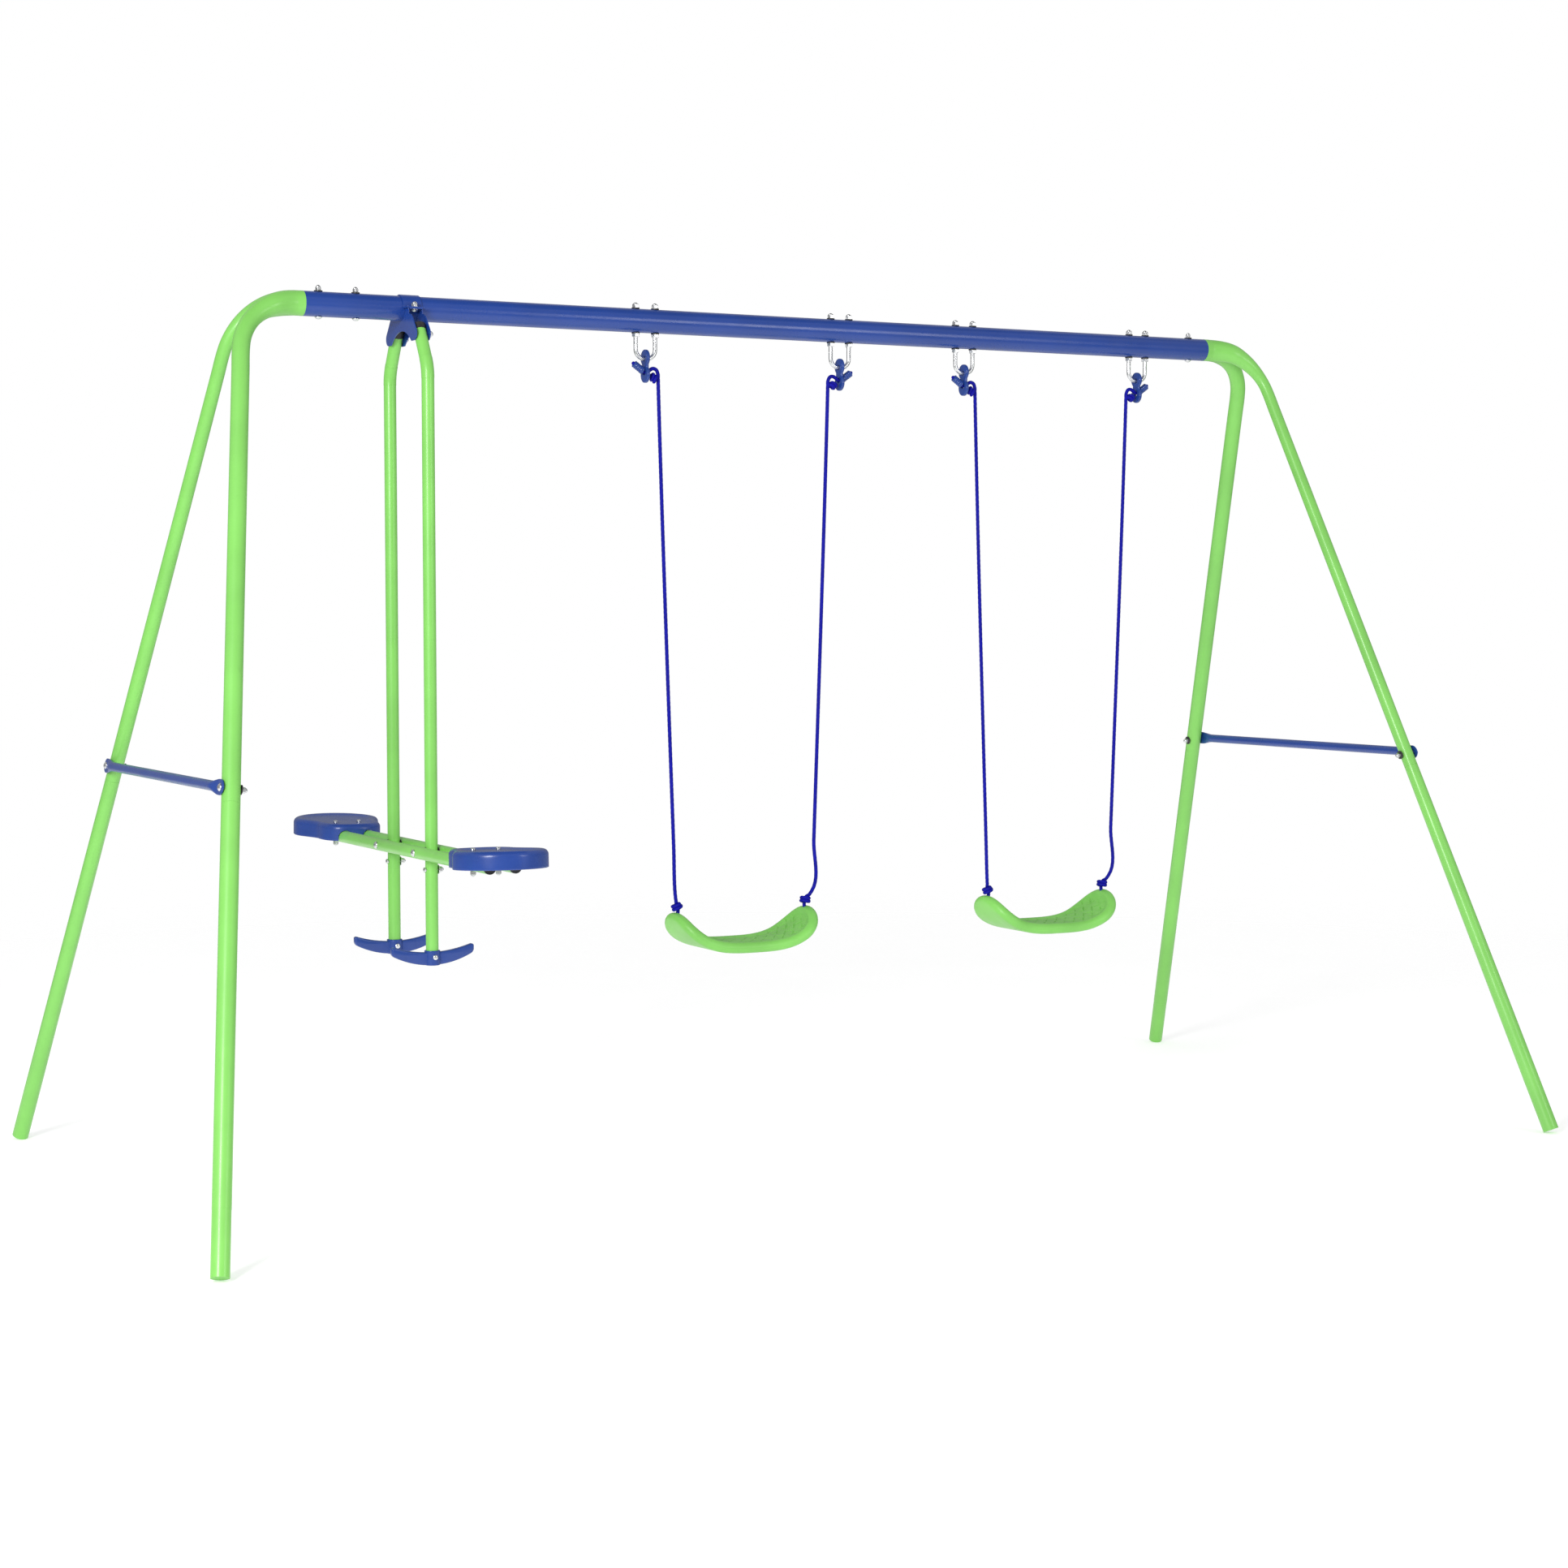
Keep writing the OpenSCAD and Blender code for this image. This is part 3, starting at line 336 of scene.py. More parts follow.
def new_object(name, verts, faces):
    mesh = bpy.data.meshes.new(name)
    mesh.from_pydata([tuple(v) for v in verts], [], faces)
    mesh.validate()
    obj = bpy.data.objects.new(name, mesh)
    bpy.context.scene.collection.objects.link(obj)
    return obj


def tube(name, path, radius, sides):
    rings = tube_rings(path, radius, sides)
    return new_object(name, np.vstack(rings), ring_faces(len(rings), sides))


class Gathered:
    """Closed shapes put together as one object."""

    def __init__(self):
        self.verts, self.faces, self.count = [], [], 0

    def add_rings(self, rings):
        self.faces += ring_faces(len(rings), len(rings[0]), self.count)
        self.verts += rings
        self.count += sum(len(ring) for ring in rings)

    def add_object(self, obj):
        self.faces += [tuple(self.count + i for i in p.vertices) for p in obj.data.polygons]
        self.verts.append(np.array([v.co for v in obj.data.vertices]))
        self.count += len(obj.data.vertices)
        bpy.data.objects.remove(obj)

    def build(self, name):
        return new_object(name, np.vstack(self.verts), self.faces)


def apply_modifiers(obj):
    """Bakes an object's modifiers into its mesh."""
    evaluated = obj.evaluated_get(bpy.context.evaluated_depsgraph_get())
    baked = bpy.data.meshes.new_from_object(evaluated)
    obj.modifiers.clear()
    obj.data = baked
    return obj


def combine(obj, others, operation):
    """Exact boolean of obj with each of the others, which are then removed."""
    for other in others:
        modifier = obj.modifiers.new("cut", "BOOLEAN")
        modifier.operation = operation
        modifier.solver = "EXACT"
        modifier.object = other
        apply_modifiers(obj)
        bpy.data.objects.remove(other)
    return obj


def weld(obj, distance):
    modifier = obj.modifiers.new("weld", "WELD")
    modifier.merge_threshold = distance
    return apply_modifiers(obj)


def finish_piece(obj, slot, body, replaced, sharp):
    """Material, shading with edges over a sharp angle in degrees kept crisp, and the ties to the frame."""
    obj.data.materials.clear()
    obj.data.materials.append(materials[slot])
    obj.data.polygons.foreach_set("material_index", [0] * len(obj.data.polygons))
    obj.data.shade_smooth()
    obj.data.set_sharp_from_angle(angle=math.radians(sharp))
    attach(obj, body)
    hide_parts(replaced)


def filled_curve(name, loops, thickness, bevel):
    """A flat curve filled between closed 2-D loops, with a thickness and rounded edges."""
    curve = bpy.data.curves.new(name, "CURVE")
    curve.dimensions = "2D"
    curve.fill_mode = "BOTH"
    curve.extrude = thickness / 2 - bevel
    curve.bevel_depth = bevel
    curve.bevel_resolution = 2
    curve.offset = -bevel
    for loop in loops:
        spline = curve.splines.new("POLY")
        spline.points.add(len(loop) - 1)
        spline.points.foreach_set("co", [c for x, y in loop for c in (x, y, 0, 1)])
        spline.use_cyclic_u = True
    return curve


def flat_plate(name, loops, thickness, bevel, axes, origin):
    """A plate with rounded edges from closed 2-D loops, outline first, then holes.

    The three axes say which way the loops' x and y and the plate's thickness point.
    """
    holder = bpy.data.objects.new(name + "_curve", filled_curve(name, loops, thickness, bevel))
    bpy.context.scene.collection.objects.link(holder)
    mesh = bpy.data.meshes.new_from_object(holder.evaluated_get(bpy.context.evaluated_depsgraph_get()))
    bpy.data.objects.remove(holder)
    verts = np.array([v.co for v in mesh.vertices]) @ np.array(axes) + np.array(origin)
    obj = new_object(name, verts, [tuple(p.vertices) for p in mesh.polygons])
    return weld(obj, 0.001 * MM)


def circle_points(center, r, count=48, start=0.0, turn=2 * math.pi):
    """Points on a circle, or on an arc with both its ends if the turn is less than a whole one."""
    steps = count if turn >= 2 * math.pi else count - 1
    angles = start + turn * np.arange(count) / steps
    return [(center[0] + r * math.cos(a), center[1] + r * math.sin(a)) for a in angles]


# ---- swing seats ----

class SwingSeat:
    """A blow-moulded seat: a thick rounded rim around a scooped top with crossing grooves."""

    rim = 12 * MM
    scoop = 4 * MM
    scoop_wall = 9 * MM
    flatness = 2.2
    slope_limits = (math.radians(20), math.radians(88))
    slope_precision = 1e-4
    bend_samples = 400
    quarter_points = 80
    under_steps, rim_steps, top_steps = 14, 14, 39
    groove_pitch = 22 * MM
    groove_dash = 36 * MM
    groove_width = 2.1 * MM
    groove_depth = 2.4 * MM
    groove_slant = math.radians(52)
    groove_cut_share = 0.8
    plain_border, plain_fade = 19 * MM, 4 * MM
    grooved_share, grooved_fade = 0.86, 8 * MM

    def __init__(self, box):
        low, high = box
        self.center = (low + high) / 2
        self.low_z = low.z
        self.half = (high.x - low.x) / 2
        self.half_width = (high.y - low.y) / 2
        gentle, steep = self.slope_limits
        while steep - gentle > self.slope_precision:
            steepest = (gentle + steep) / 2
            self.bend(steepest)
            if self.z[-1] + self.rim * (1 + math.cos(steepest)) < high.z - low.z:
                gentle = steepest
            else:
                steep = steepest

    def bend(self, steepest):
        """Lays out the sheet's middle line; its slope grows from nothing to the steepest at the ends."""
        s = np.linspace(0, 1, self.bend_samples)
        slope = steepest * s ** self.flatness
        between = (slope[1:] + slope[:-1]) / 2
        x = np.concatenate([[0], np.cumsum(np.cos(between))]) / len(between)
        z = np.concatenate([[0], np.cumsum(np.sin(between))]) / len(between)
        reach = (self.half - self.rim * math.sin(steepest)) / x[-1]
        self.run, self.x, self.z, self.slope = s * reach, x * reach, z * reach, slope

    def place(self, along, across, lift):
        """Points at a distance along the bent sheet, a distance across it and a height above it."""
        side, away = np.sign(along), np.abs(along)
        slope = np.interp(away, self.run, self.slope)
        over = np.maximum(away - self.run[-1], 0)
        x = np.interp(away, self.run, self.x) + over * np.cos(slope) - lift * np.sin(slope)
        z = np.interp(away, self.run, self.z) + over * np.sin(slope) + lift * np.cos(slope)
        low_z = self.low_z + self.rim
        return np.column_stack([self.center.x + side * x, self.center.y + across, low_z + z])

    def outline(self, inset):
        """Stadium pulled in by an inset; its points keep their places along it as the inset grows."""
        half_width = self.half_width - inset
        straight = self.run[-1] - self.half_width
        t = np.linspace(0, 1, self.quarter_points, endpoint=False)
        arc = t * math.pi / 2
        edge = np.full(len(t), half_width)
        upper = np.vstack([
            np.column_stack([straight + half_width * np.cos(arc), half_width * np.sin(arc)]),
            np.column_stack([straight * (1 - t), edge]),
            np.column_stack([-straight * t, edge]),
            np.column_stack([-straight - half_width * np.sin(arc), half_width * np.cos(arc)]),
        ])
        return np.vstack([upper, -upper])

    def groove(self, along, across):
        """Depth of the crossing grooves: short lens-shaped cuts on two sets of slanting lines."""
        total = np.zeros_like(along)
        for lean in (-1, 1):
            off = along * math.sin(self.groove_slant) - lean * across * math.cos(self.groove_slant)
            down = along * math.cos(self.groove_slant) + lean * across * math.sin(self.groove_slant)
            row = np.round(off / self.groove_pitch)
            from_line = off - row * self.groove_pitch
            phase = down / self.groove_dash + 0.5 * (row % 2) + 0.25 * lean
            lens = np.cos(math.pi * (phase - np.round(phase)) / self.groove_cut_share)
            width = np.maximum(self.groove_width * np.maximum(lens, 0), 0.001 * MM)
            cut = self.groove_depth * np.maximum(0, 1 - (from_line / width) ** 2) * (lens > 0)
            total = np.maximum(total, cut)
        inside = np.clip((self.half_width - self.plain_border - np.abs(across)) / self.plain_fade, 0, 1)
        inside *= np.clip((self.grooved_share * self.run[-1] - np.abs(along)) / self.grooved_fade, 0, 1)
        return total * inside

    def dip(self, inset):
        """Depth of the scooped top at a distance in from the seat's edge."""
        return self.scoop * (1 - math.exp(-(((inset - self.rim) / self.scoop_wall) ** 2)))

    def profile(self):
        """(inset, lift) steps from the underside's middle, round the rim and over to the top's middle."""
        under = np.linspace(self.half_width, self.rim, self.under_steps, endpoint=False)
        turns = math.pi * (np.arange(self.rim_steps + 1) / self.rim_steps - 0.5)
        over = np.linspace(self.rim, self.half_width, self.top_steps + 1)[1:]
        return ([(inset, -self.rim) for inset in under]
                + [(self.rim * (1 - math.cos(turn)), self.rim * math.sin(turn)) for turn in turns]
                + [(inset, self.rim - self.dip(inset)) for inset in over])

    def build(self, name):
        rings = []
        for inset, lift in self.profile():
            along, across = self.outline(inset).T
            if lift > 0 and inset > self.rim:
                lift = lift - self.groove(along, across)
            rings.append(self.place(along, across, lift))
        seat = new_object(name, np.vstack(rings), ring_faces(len(rings), len(rings[0]), closed_ends=False))
        return weld(seat, 0.01 * MM)


def build_swing_seats():
    for number in ("1", "2"):
        node = f"swing_{number}_seat"
        seat = SwingSeat(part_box(node)).build(f"moulded_seat_{number}")
        finish_piece(seat, "green_plastic", node, node, sharp=60)


# ---- links, sleeves and ropes ----

class Swing:
    """Where the two links of a swing hang, and the lobes and rope holes in them."""

    link_thickness = 7 * MM
    link_edge = 1.6 * MM
    link_waist = 11 * MM
    bolt_hole = 5.2 * MM
    bolt_hole_down = 2 * MM
    rope_hole = 6 * MM
    rope_hole_up = 4.5 * MM

    def __init__(self, number):
        low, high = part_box(f"swing_{number}_links")
        self.number = number
        self.body = f"swing_{number}_ropes"
        self.lobe = (high.y - low.y) / 2
        self.middle = (low.x + high.x) / 2
        self.out = (high.x - low.x - self.link_thickness) / 2
        self.lower = low.z + self.lobe
        self.upper = high.z - self.lobe
        self.hole_z = self.lower + self.rope_hole_up

    def spot(self, side, inboard, above, y=0.0):
        """A point by a link, from its distances towards the swing's middle and above the rope hole."""
        return np.array((self.middle + side * (self.out - inboard), y, self.hole_z + above))


def link_outline(swing):
    """Two round lobes with a narrower waist."""
    half_turn = math.pi / 2 + math.acos(swing.link_waist / swing.lobe)
    top = circle_points((0, swing.upper), swing.lobe, 40, math.pi / 2 - half_turn, 2 * half_turn)
    bottom = circle_points((0, swing.lower), swing.lobe, 40, -math.pi / 2 - half_turn, 2 * half_turn)
    return top + bottom


def build_links(swing):
    loops = [
        link_outline(swing),
        circle_points((0, swing.upper - swing.bolt_hole_down), swing.bolt_hole),
        circle_points((0, swing.hole_z), swing.rope_hole),
    ]
    both = Gathered()
    for side in (-1, 1):
        axes = ((0, 1, 0), (0, 0, 1), (1, 0, 0))
        origin = (swing.middle + side * swing.out, 0, 0)
        both.add_object(flat_plate("link", loops, swing.link_thickness, swing.link_edge, axes, origin))
    links = both.build(f"moulded_links_{swing.number}")
    finish_piece(links, "blue_plastic", swing.body, f"swing_{swing.number}_links", sharp=35)


class Sleeve:
    """Ribbed grip on a rope's cut end: a smooth collar, grooves across and a rounded outer end."""

    slope = math.radians(35)
    length = 27 * MM
    radius = 7.9 * MM
    root_out, root_up = 5 * MM, 2 * MM
    grooves, first_groove, pitch = 4, 9 * MM, 4.6 * MM
    groove_width, groove_depth = 1.1 * MM, 1.0 * MM
    end_length, end_share = 2 * MM, 0.35
    sections, sides = 90, 40

    def __init__(self, swing, side):
        self.root = swing.spot(side, -self.root_out, self.root_up)
        self.way = np.array((side * math.cos(self.slope), 0, math.sin(self.slope)))

    def outside(self, at, angle):
        """Distance of the surface from the sleeve's axis."""
        from_grooves = [at - self.first_groove - i * self.pitch for i in range(self.grooves)]
        cut = self.groove_depth * sum(math.exp(-((d / self.groove_width) ** 2)) for d in from_grooves)
        into_end = max(0.0, 1 - min(at, self.length - at) / self.end_length)
        return (self.radius * (1 - self.end_share * into_end ** 2) - cut) * np.ones_like(angle)

    def rings(self):
        steps = np.linspace(0, self.length, self.sections)
        return tube_rings(self.root + steps[:, None] * self.way, self.outside, self.sides)


def build_sleeves(swing):
    both = Gathered()
    for side in (-1, 1):
        both.add_rings(Sleeve(swing, side).rings())
    sleeves = both.build(f"ribbed_sleeves_{swing.number}")
    finish_piece(sleeves, "blue_plastic", swing.body, f"swing_{swing.number}_rope_sleeves", sharp=60)


class Rope:
    """One rope of a swing, with the coil of its hitch under the link and its knot on the seat."""

    radius = 4 * MM
    sides = 24
    step = 1.5 * MM
    braid_length = 11 * MM
    cut_share, cut_length = 0.3, 0.8 * MM
    past_sleeve = 4 * MM
    # mm towards the swing's middle and above the rope hole: through the link, over and down past the hitch
    through_link = ((-14, 8), (-4, 1.5), (3, 1), (10, 5), (17, 8.6), (24, 7))
    past_hitch = ((28.5, 0), (29.5, -12), (30, -30))
    hitch_at = (18, -11)
    hitch_y = -1 * MM
    knot_out = 155 * MM
    knot_up = 11 * MM
    turn_in_up = 34 * MM

    def __init__(self, swing, side):
        seat_low, seat_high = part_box(f"swing_{swing.number}_seat")
        self.swing, self.side = swing, side
        self.seat_top = seat_high.z
        self.end_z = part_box(f"swing_{swing.number}_ropes")[0].z
        knot_x = swing.middle + side * self.knot_out
        self.knot = np.array((knot_x, (seat_low.y + seat_high.y) / 2, self.seat_top + self.knot_up))

    def braid(self, at, angle):
        """Distance of the surface from the rope's middle: crossing yarns, drawn in at the cut end."""
        lead = 2 * math.pi * at / self.braid_length
        relief = np.maximum(np.cos(3 * angle + lead), np.cos(3 * angle - lead))
        drawn_in = 1 - self.cut_share * math.exp(-at / self.cut_length)
        return self.radius * drawn_in * (0.965 + 0.05 * relief)

    def beside(self, point, inboard, up):
        """A point moved towards the swing's middle and up."""
        return np.array(point) + (-self.side * inboard, 0, up)

    def main_path(self):
        """From the cut end in the sleeve through the link, down past hitch and knot into the seat."""
        swing, side = self.swing, self.side
        tip = Sleeve.length + self.past_sleeve
        cut_end = swing.spot(side, -Sleeve.root_out - tip * math.cos(Sleeve.slope),
                             Sleeve.root_up + tip * math.sin(Sleeve.slope))
        waypoints = self.through_link + self.past_hitch
        hitch = [swing.spot(side, inboard * MM, above * MM) for inboard, above in waypoints]
        turn_in = np.array((self.knot[0] + side * 12 * MM, 0, self.seat_top + self.turn_in_up))
        over_knot = self.beside(turn_in, 4 * MM, -10 * MM) + (0, self.knot[1] * 0.4, 0)
        foot = (self.knot[0], self.knot[1], self.end_z)
        points = [cut_end, *hitch, self.beside(turn_in, -4 * MM, 110 * MM), turn_in, over_knot,
                  self.beside(self.knot, -3 * MM, 6 * MM), self.knot, foot]
        return smooth_path(points, self.step)

    def coil(self, center, axis, radius, pitch, turns):
        """Path of rope wrapped around an axis, with both ends tucked inwards."""
        tucked, tuck_rate, points_per_turn = 0.12, 5.5, 26
        axis = unit(np.array(axis, float))
        first = unit(np.cross(axis, (0.2, 1.0, 0.1)))
        second = np.cross(axis, first)
        points = []
        for t in np.linspace(-tucked, 1 + tucked, int(points_per_turn * turns)):
            spread = radius * (1 - tuck_rate * max(-t, t - 1, 0))
            angle = 2 * math.pi * turns * t
            along = pitch * turns * (min(max(t, 0), 1) - 0.5)
            wrapped = math.cos(angle) * first + math.sin(angle) * second
            points.append(np.array(center) + axis * along + spread * wrapped)
        return smooth_path(points, self.step)

    def paths(self):
        """The rope itself and the coils of its hitch and its knot."""
        inboard, above = self.hitch_at
        hitch = self.swing.spot(self.side, inboard * MM, above * MM, self.hitch_y)
        return [
            self.main_path(),
            self.coil(hitch, (self.side * 0.75, 0.2, 0.6), radius=5.8 * MM, pitch=7.2 * MM, turns=1.7),
            self.coil(self.beside(self.knot, -2 * MM, 1 * MM), (0.3 * self.side, 0, 1),
                      radius=9 * MM, pitch=7 * MM, turns=1.35),
        ]


def build_ropes(swing):
    both = Gathered()
    for side in (-1, 1):
        rope = Rope(swing, side)
        for path in rope.paths():
            both.add_rings(tube_rings(path, rope.braid, rope.sides))
    ropes = both.build(f"braided_ropes_{swing.number}")
    finish_piece(ropes, "rope", swing.body, f"swing_{swing.number}_ropes", sharp=80)


# ---- glider seats ----

class GliderSeat:
    """A pear-shaped moulded seat with a rounded rim, a dished top and a skirt that straddles the bars.

    Distances along it are measured from the glider's middle, and heights from the bars' middle.
    """

    narrow = 67 * MM
    waist_from_end = 64 * MM
    end_roundness = 2.5
    skin = 4 * MM
    rim = 11 * MM
    skirt_low = -9 * MM
    skirt_lip = 1.4 * MM
    top = 27 * MM
    dish = 23.4 * MM
    dish_wall = (2 * MM, 17 * MM)
    ceiling = 16.7 * MM
    ceiling_chamfer = 2 * MM
    tip = math.radians(2.6)
    arch = 14.2 * MM
    arch_before, arch_into, arch_below = 20 * MM, 60 * MM, 40 * MM
    spine_share = 0.5
    outline_points, outline_samples = 360, 400
    lip_steps, side_steps, rim_steps, dish_steps, spine_steps = 8, 7, 11, 13, 8

    def __init__(self, seat_box, bar_box):
        low, high = seat_box
        bar_middle = (bar_box[0] + bar_box[1]) / 2
        self.outward = 1 if low.y + high.y > 0 else -1
        self.middle = (low.x + high.x) / 2
        self.wide = (high.x - low.x) / 2
        self.inner, self.outer = sorted((abs(low.y), abs(high.y)))
        self.bar_z = bar_middle.z
        self.bar_out = abs(bar_middle.x - self.middle)

    def half_width(self, y):
        """Half the seat's width at a distance from the glider's middle."""
        broad = self.outer - self.wide
        waist = self.inner + self.waist_from_end
        if y > broad:
            return math.sqrt(max(0.0, self.wide ** 2 - (y - broad) ** 2))
        if y > waist:
            return self.narrow + (self.wide - self.narrow) * smooth((y - waist) / (broad - waist))
        share = (waist - y) / self.waist_from_end
        return self.narrow * max(0.0, 1 - share ** self.end_roundness) ** (1 / self.end_roundness)

    def outline(self):
        """Closed loop of evenly spaced points, anticlockwise from above."""
        turn = np.linspace(0, math.pi, self.outline_samples)
        ys = (self.outer + self.inner) / 2 + (self.outer - self.inner) / 2 * np.cos(turn)
        right = np.array([(self.half_width(y), y) for y in ys])[::-1]
        loop = np.vstack([right, right[-2:0:-1] * (-1, 1)])
        closed = np.vstack([loop, loop[:1]])
        run = running_length(closed)
        at = np.linspace(0, run[-1], self.outline_points, endpoint=False)
        return np.column_stack([np.interp(at, run, closed[:, 0]), np.interp(at, run, closed[:, 1])])

    def place(self, xy, height):
        """Puts points of the level seat where the tipped seat has them."""
        along = xy[:, 1] - self.inner
        y = self.inner + along * math.cos(self.tip) - height * math.sin(self.tip)
        z = self.bar_z + along * math.sin(self.tip) + height * math.cos(self.tip)
        return np.column_stack([self.middle + xy[:, 0], self.outward * y, z])

    def profile(self):
        """(inset, height) steps from the underside's ceiling, round the lip and up to the dished top."""
        lip_z = self.skirt_low + self.skirt_lip
        rim_z = self.top - self.rim
        half_skin = self.skin / 2
        crest, foot = (self.rim + wall for wall in self.dish_wall)
        steps = [(self.skin + self.ceiling_chamfer, self.ceiling),
                 (self.skin, self.ceiling - self.ceiling_chamfer),
                 (self.skin, lip_z)]
        for turn in np.linspace(0, math.pi, self.lip_steps + 1)[1:]:
            steps.append((half_skin + half_skin * math.cos(turn), lip_z - self.skirt_lip * math.sin(turn)))
        steps += [(0.0, height) for height in np.linspace(lip_z, rim_z, self.side_steps + 1)[1:]]
        for turn in np.linspace(0, math.pi / 2, self.rim_steps + 1)[1:]:
            steps.append((self.rim * (1 - math.cos(turn)), rim_z + self.rim * math.sin(turn)))
        for t in np.linspace(0, 1, self.dish_steps + 1)[1:]:
            steps.append((crest + (foot - crest) * t, self.top + (self.dish - self.top) * smooth(t)))
        return steps

    def shell(self):
        """Rings of points from the underside's middle round to the top's middle."""
        loop = self.outline()
        ahead, behind = np.roll(loop, -1, axis=0), np.roll(loop, 1, axis=0)
        along = (ahead - behind) / np.linalg.norm(ahead - behind, axis=1)[:, None]
        inwards = np.column_stack([-along[:, 1], along[:, 0]])
        spine_y = np.clip(loop[:, 1], self.inner + self.wide * self.spine_share, self.outer - self.wide)
        spine = np.column_stack([np.zeros(len(loop)), spine_y])
        profile = self.profile()
        edge = [self.place(loop + inset * inwards, height) for inset, height in profile]
        (under_inset, under_z), (over_inset, over_z) = profile[0], profile[-1]
        under, over = loop + under_inset * inwards, loop + over_inset * inwards
        shrink = np.linspace(0, 1, self.spine_steps + 1)[1:]
        below = [self.place(under + (spine - under) * t, under_z) for t in reversed(shrink)]
        above = [self.place(over + (spine - over) * t, over_z) for t in shrink]
        return below + edge + above

    def build(self, name):
        rings = self.shell()
        if self.outward < 0:
            rings = [ring[::-1] for ring in rings]
        seat = new_object(name, np.vstack(rings), ring_faces(len(rings), len(rings[0]), closed_ends=False))
        weld(seat, 0.01 * MM)
        return combine(seat, self.bar_arches(), "DIFFERENCE")

    def bar_arches(self):
        """Cutters for the two arches that let the bars in under the inner end."""
        start = self.outward * (self.inner - self.arch_before)
        end = self.outward * (self.inner + self.arch_into)
        arch = circle_points((0, 0), self.arch, 28, 0, math.pi)
        loop = [(-self.arch, -self.arch_below)] + arch[::-1] + [(self.arch, -self.arch_below)]
        cutters = []
        for side in (-1, 1):
            x = self.middle + side * self.bar_out
            sections = [np.array([(x + u, y, self.bar_z + v) for u, v in loop]) for y in (start, end)]
            if self.outward < 0:
                sections.reverse()
            cutters.append(new_object("arch", np.vstack(sections), ring_faces(2, len(loop))))
        return cutters


def build_glider_seats():
    for end in ("front", "rear"):
        node = f"{end}_glider_seat"
        seat = GliderSeat(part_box(node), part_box("right_seat_bar")).build(f"moulded_{end}_seat")
        finish_piece(seat, "blue_plastic", "glider_seats", node, sharp=40)


# ---- footrests ----

class Footrest:
    """A crescent footrest: two blades with rounded tips and edges, and a collar round the hanger."""

    thick = 15 * MM
    edge = 3.6 * MM
    tip_low = 23 * MM
    tip_high = 41 * MM
    tip_corner = 6 * MM
    middle_high = 26 * MM
    collar = 16 * MM
    collar_height = 30 * MM
    collar_edge = 1.5 * MM
    sole = 6 * MM
    tube_play = 0.2 * MM
    cutter_past = 20 * MM
    crescent_points = 140
    post_sections, post_sides = 60, 56

    def __init__(self, box, tube_box):
        low, high = box
        self.low_z = low.z
        self.half = (high.x - low.x) / 2
        self.middle = (low + high) / 2
        self.tube = (tube_box[1].x - tube_box[0].x) / 2

    def crescent(self):
        """Closed loop between the lower and the upper arc, with its corners at the tips rounded."""
        low_r = (self.half ** 2 + self.tip_low ** 2) / (2 * self.tip_low)
        rise = self.tip_high - self.middle_high
        high_r = (self.half ** 2 + rise ** 2) / (2 * rise)
        xs = self.half * np.sin(np.linspace(-math.pi / 2, math.pi / 2, self.crescent_points))
        into_corner = np.maximum(np.abs(xs) - self.half + self.tip_corner, 0)
        tuck = self.tip_corner - np.sqrt(np.maximum(self.tip_corner ** 2 - into_corner ** 2, 0))
        lower = low_r - np.sqrt(low_r ** 2 - xs ** 2) + tuck
        upper = self.middle_high + high_r - np.sqrt(high_r ** 2 - xs ** 2) - tuck
        points = list(zip(xs, lower)) + list(zip(xs[::-1], upper[::-1]))
        return [(float(x), float(self.low_z + z)) for x, z in points]

    def post(self, radius, bottom, top, rounding):
        """An upright round post with rounded ends."""
        path = [(self.middle.x, self.middle.y, z) for z in np.linspace(bottom, top, self.post_sections)]

        def outside(at, angle):
            into_end = max(0.0, rounding - min(at, top - bottom - at))
            rounded = math.sqrt(max(0.0, rounding ** 2 - into_end ** 2))
            return (radius - rounding + rounded) * np.ones_like(angle)

        return tube("post", np.array(path), outside, self.post_sides)

    def build(self, name):
        axes = ((1, 0, 0), (0, 0, 1), (0, -1, 0))
        origin = (self.middle.x, self.middle.y, 0)
        rest = flat_plate(name, [self.crescent()], self.thick, self.edge, axes, origin)
        collar_top = self.low_z + self.collar_height
        collar = self.post(self.collar, self.low_z, collar_top, self.collar_edge)
        combine(rest, [collar], "UNION")
        socket_top = collar_top + self.cutter_past
        socket = self.post(self.tube + self.tube_play, self.low_z + self.sole, socket_top, 0)
        return combine(rest, [socket], "DIFFERENCE")


def build_footrests():
    for end in ("front", "rear"):
        node = f"{end}_footrest"
        rest = Footrest(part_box(node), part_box(f"{end}_hanger_foot")).build(f"moulded_{end}_footrest")
        finish_piece(rest, "blue_plastic", f"glider_{end}_hanger", node, sharp=30)


# ---- end frames ----

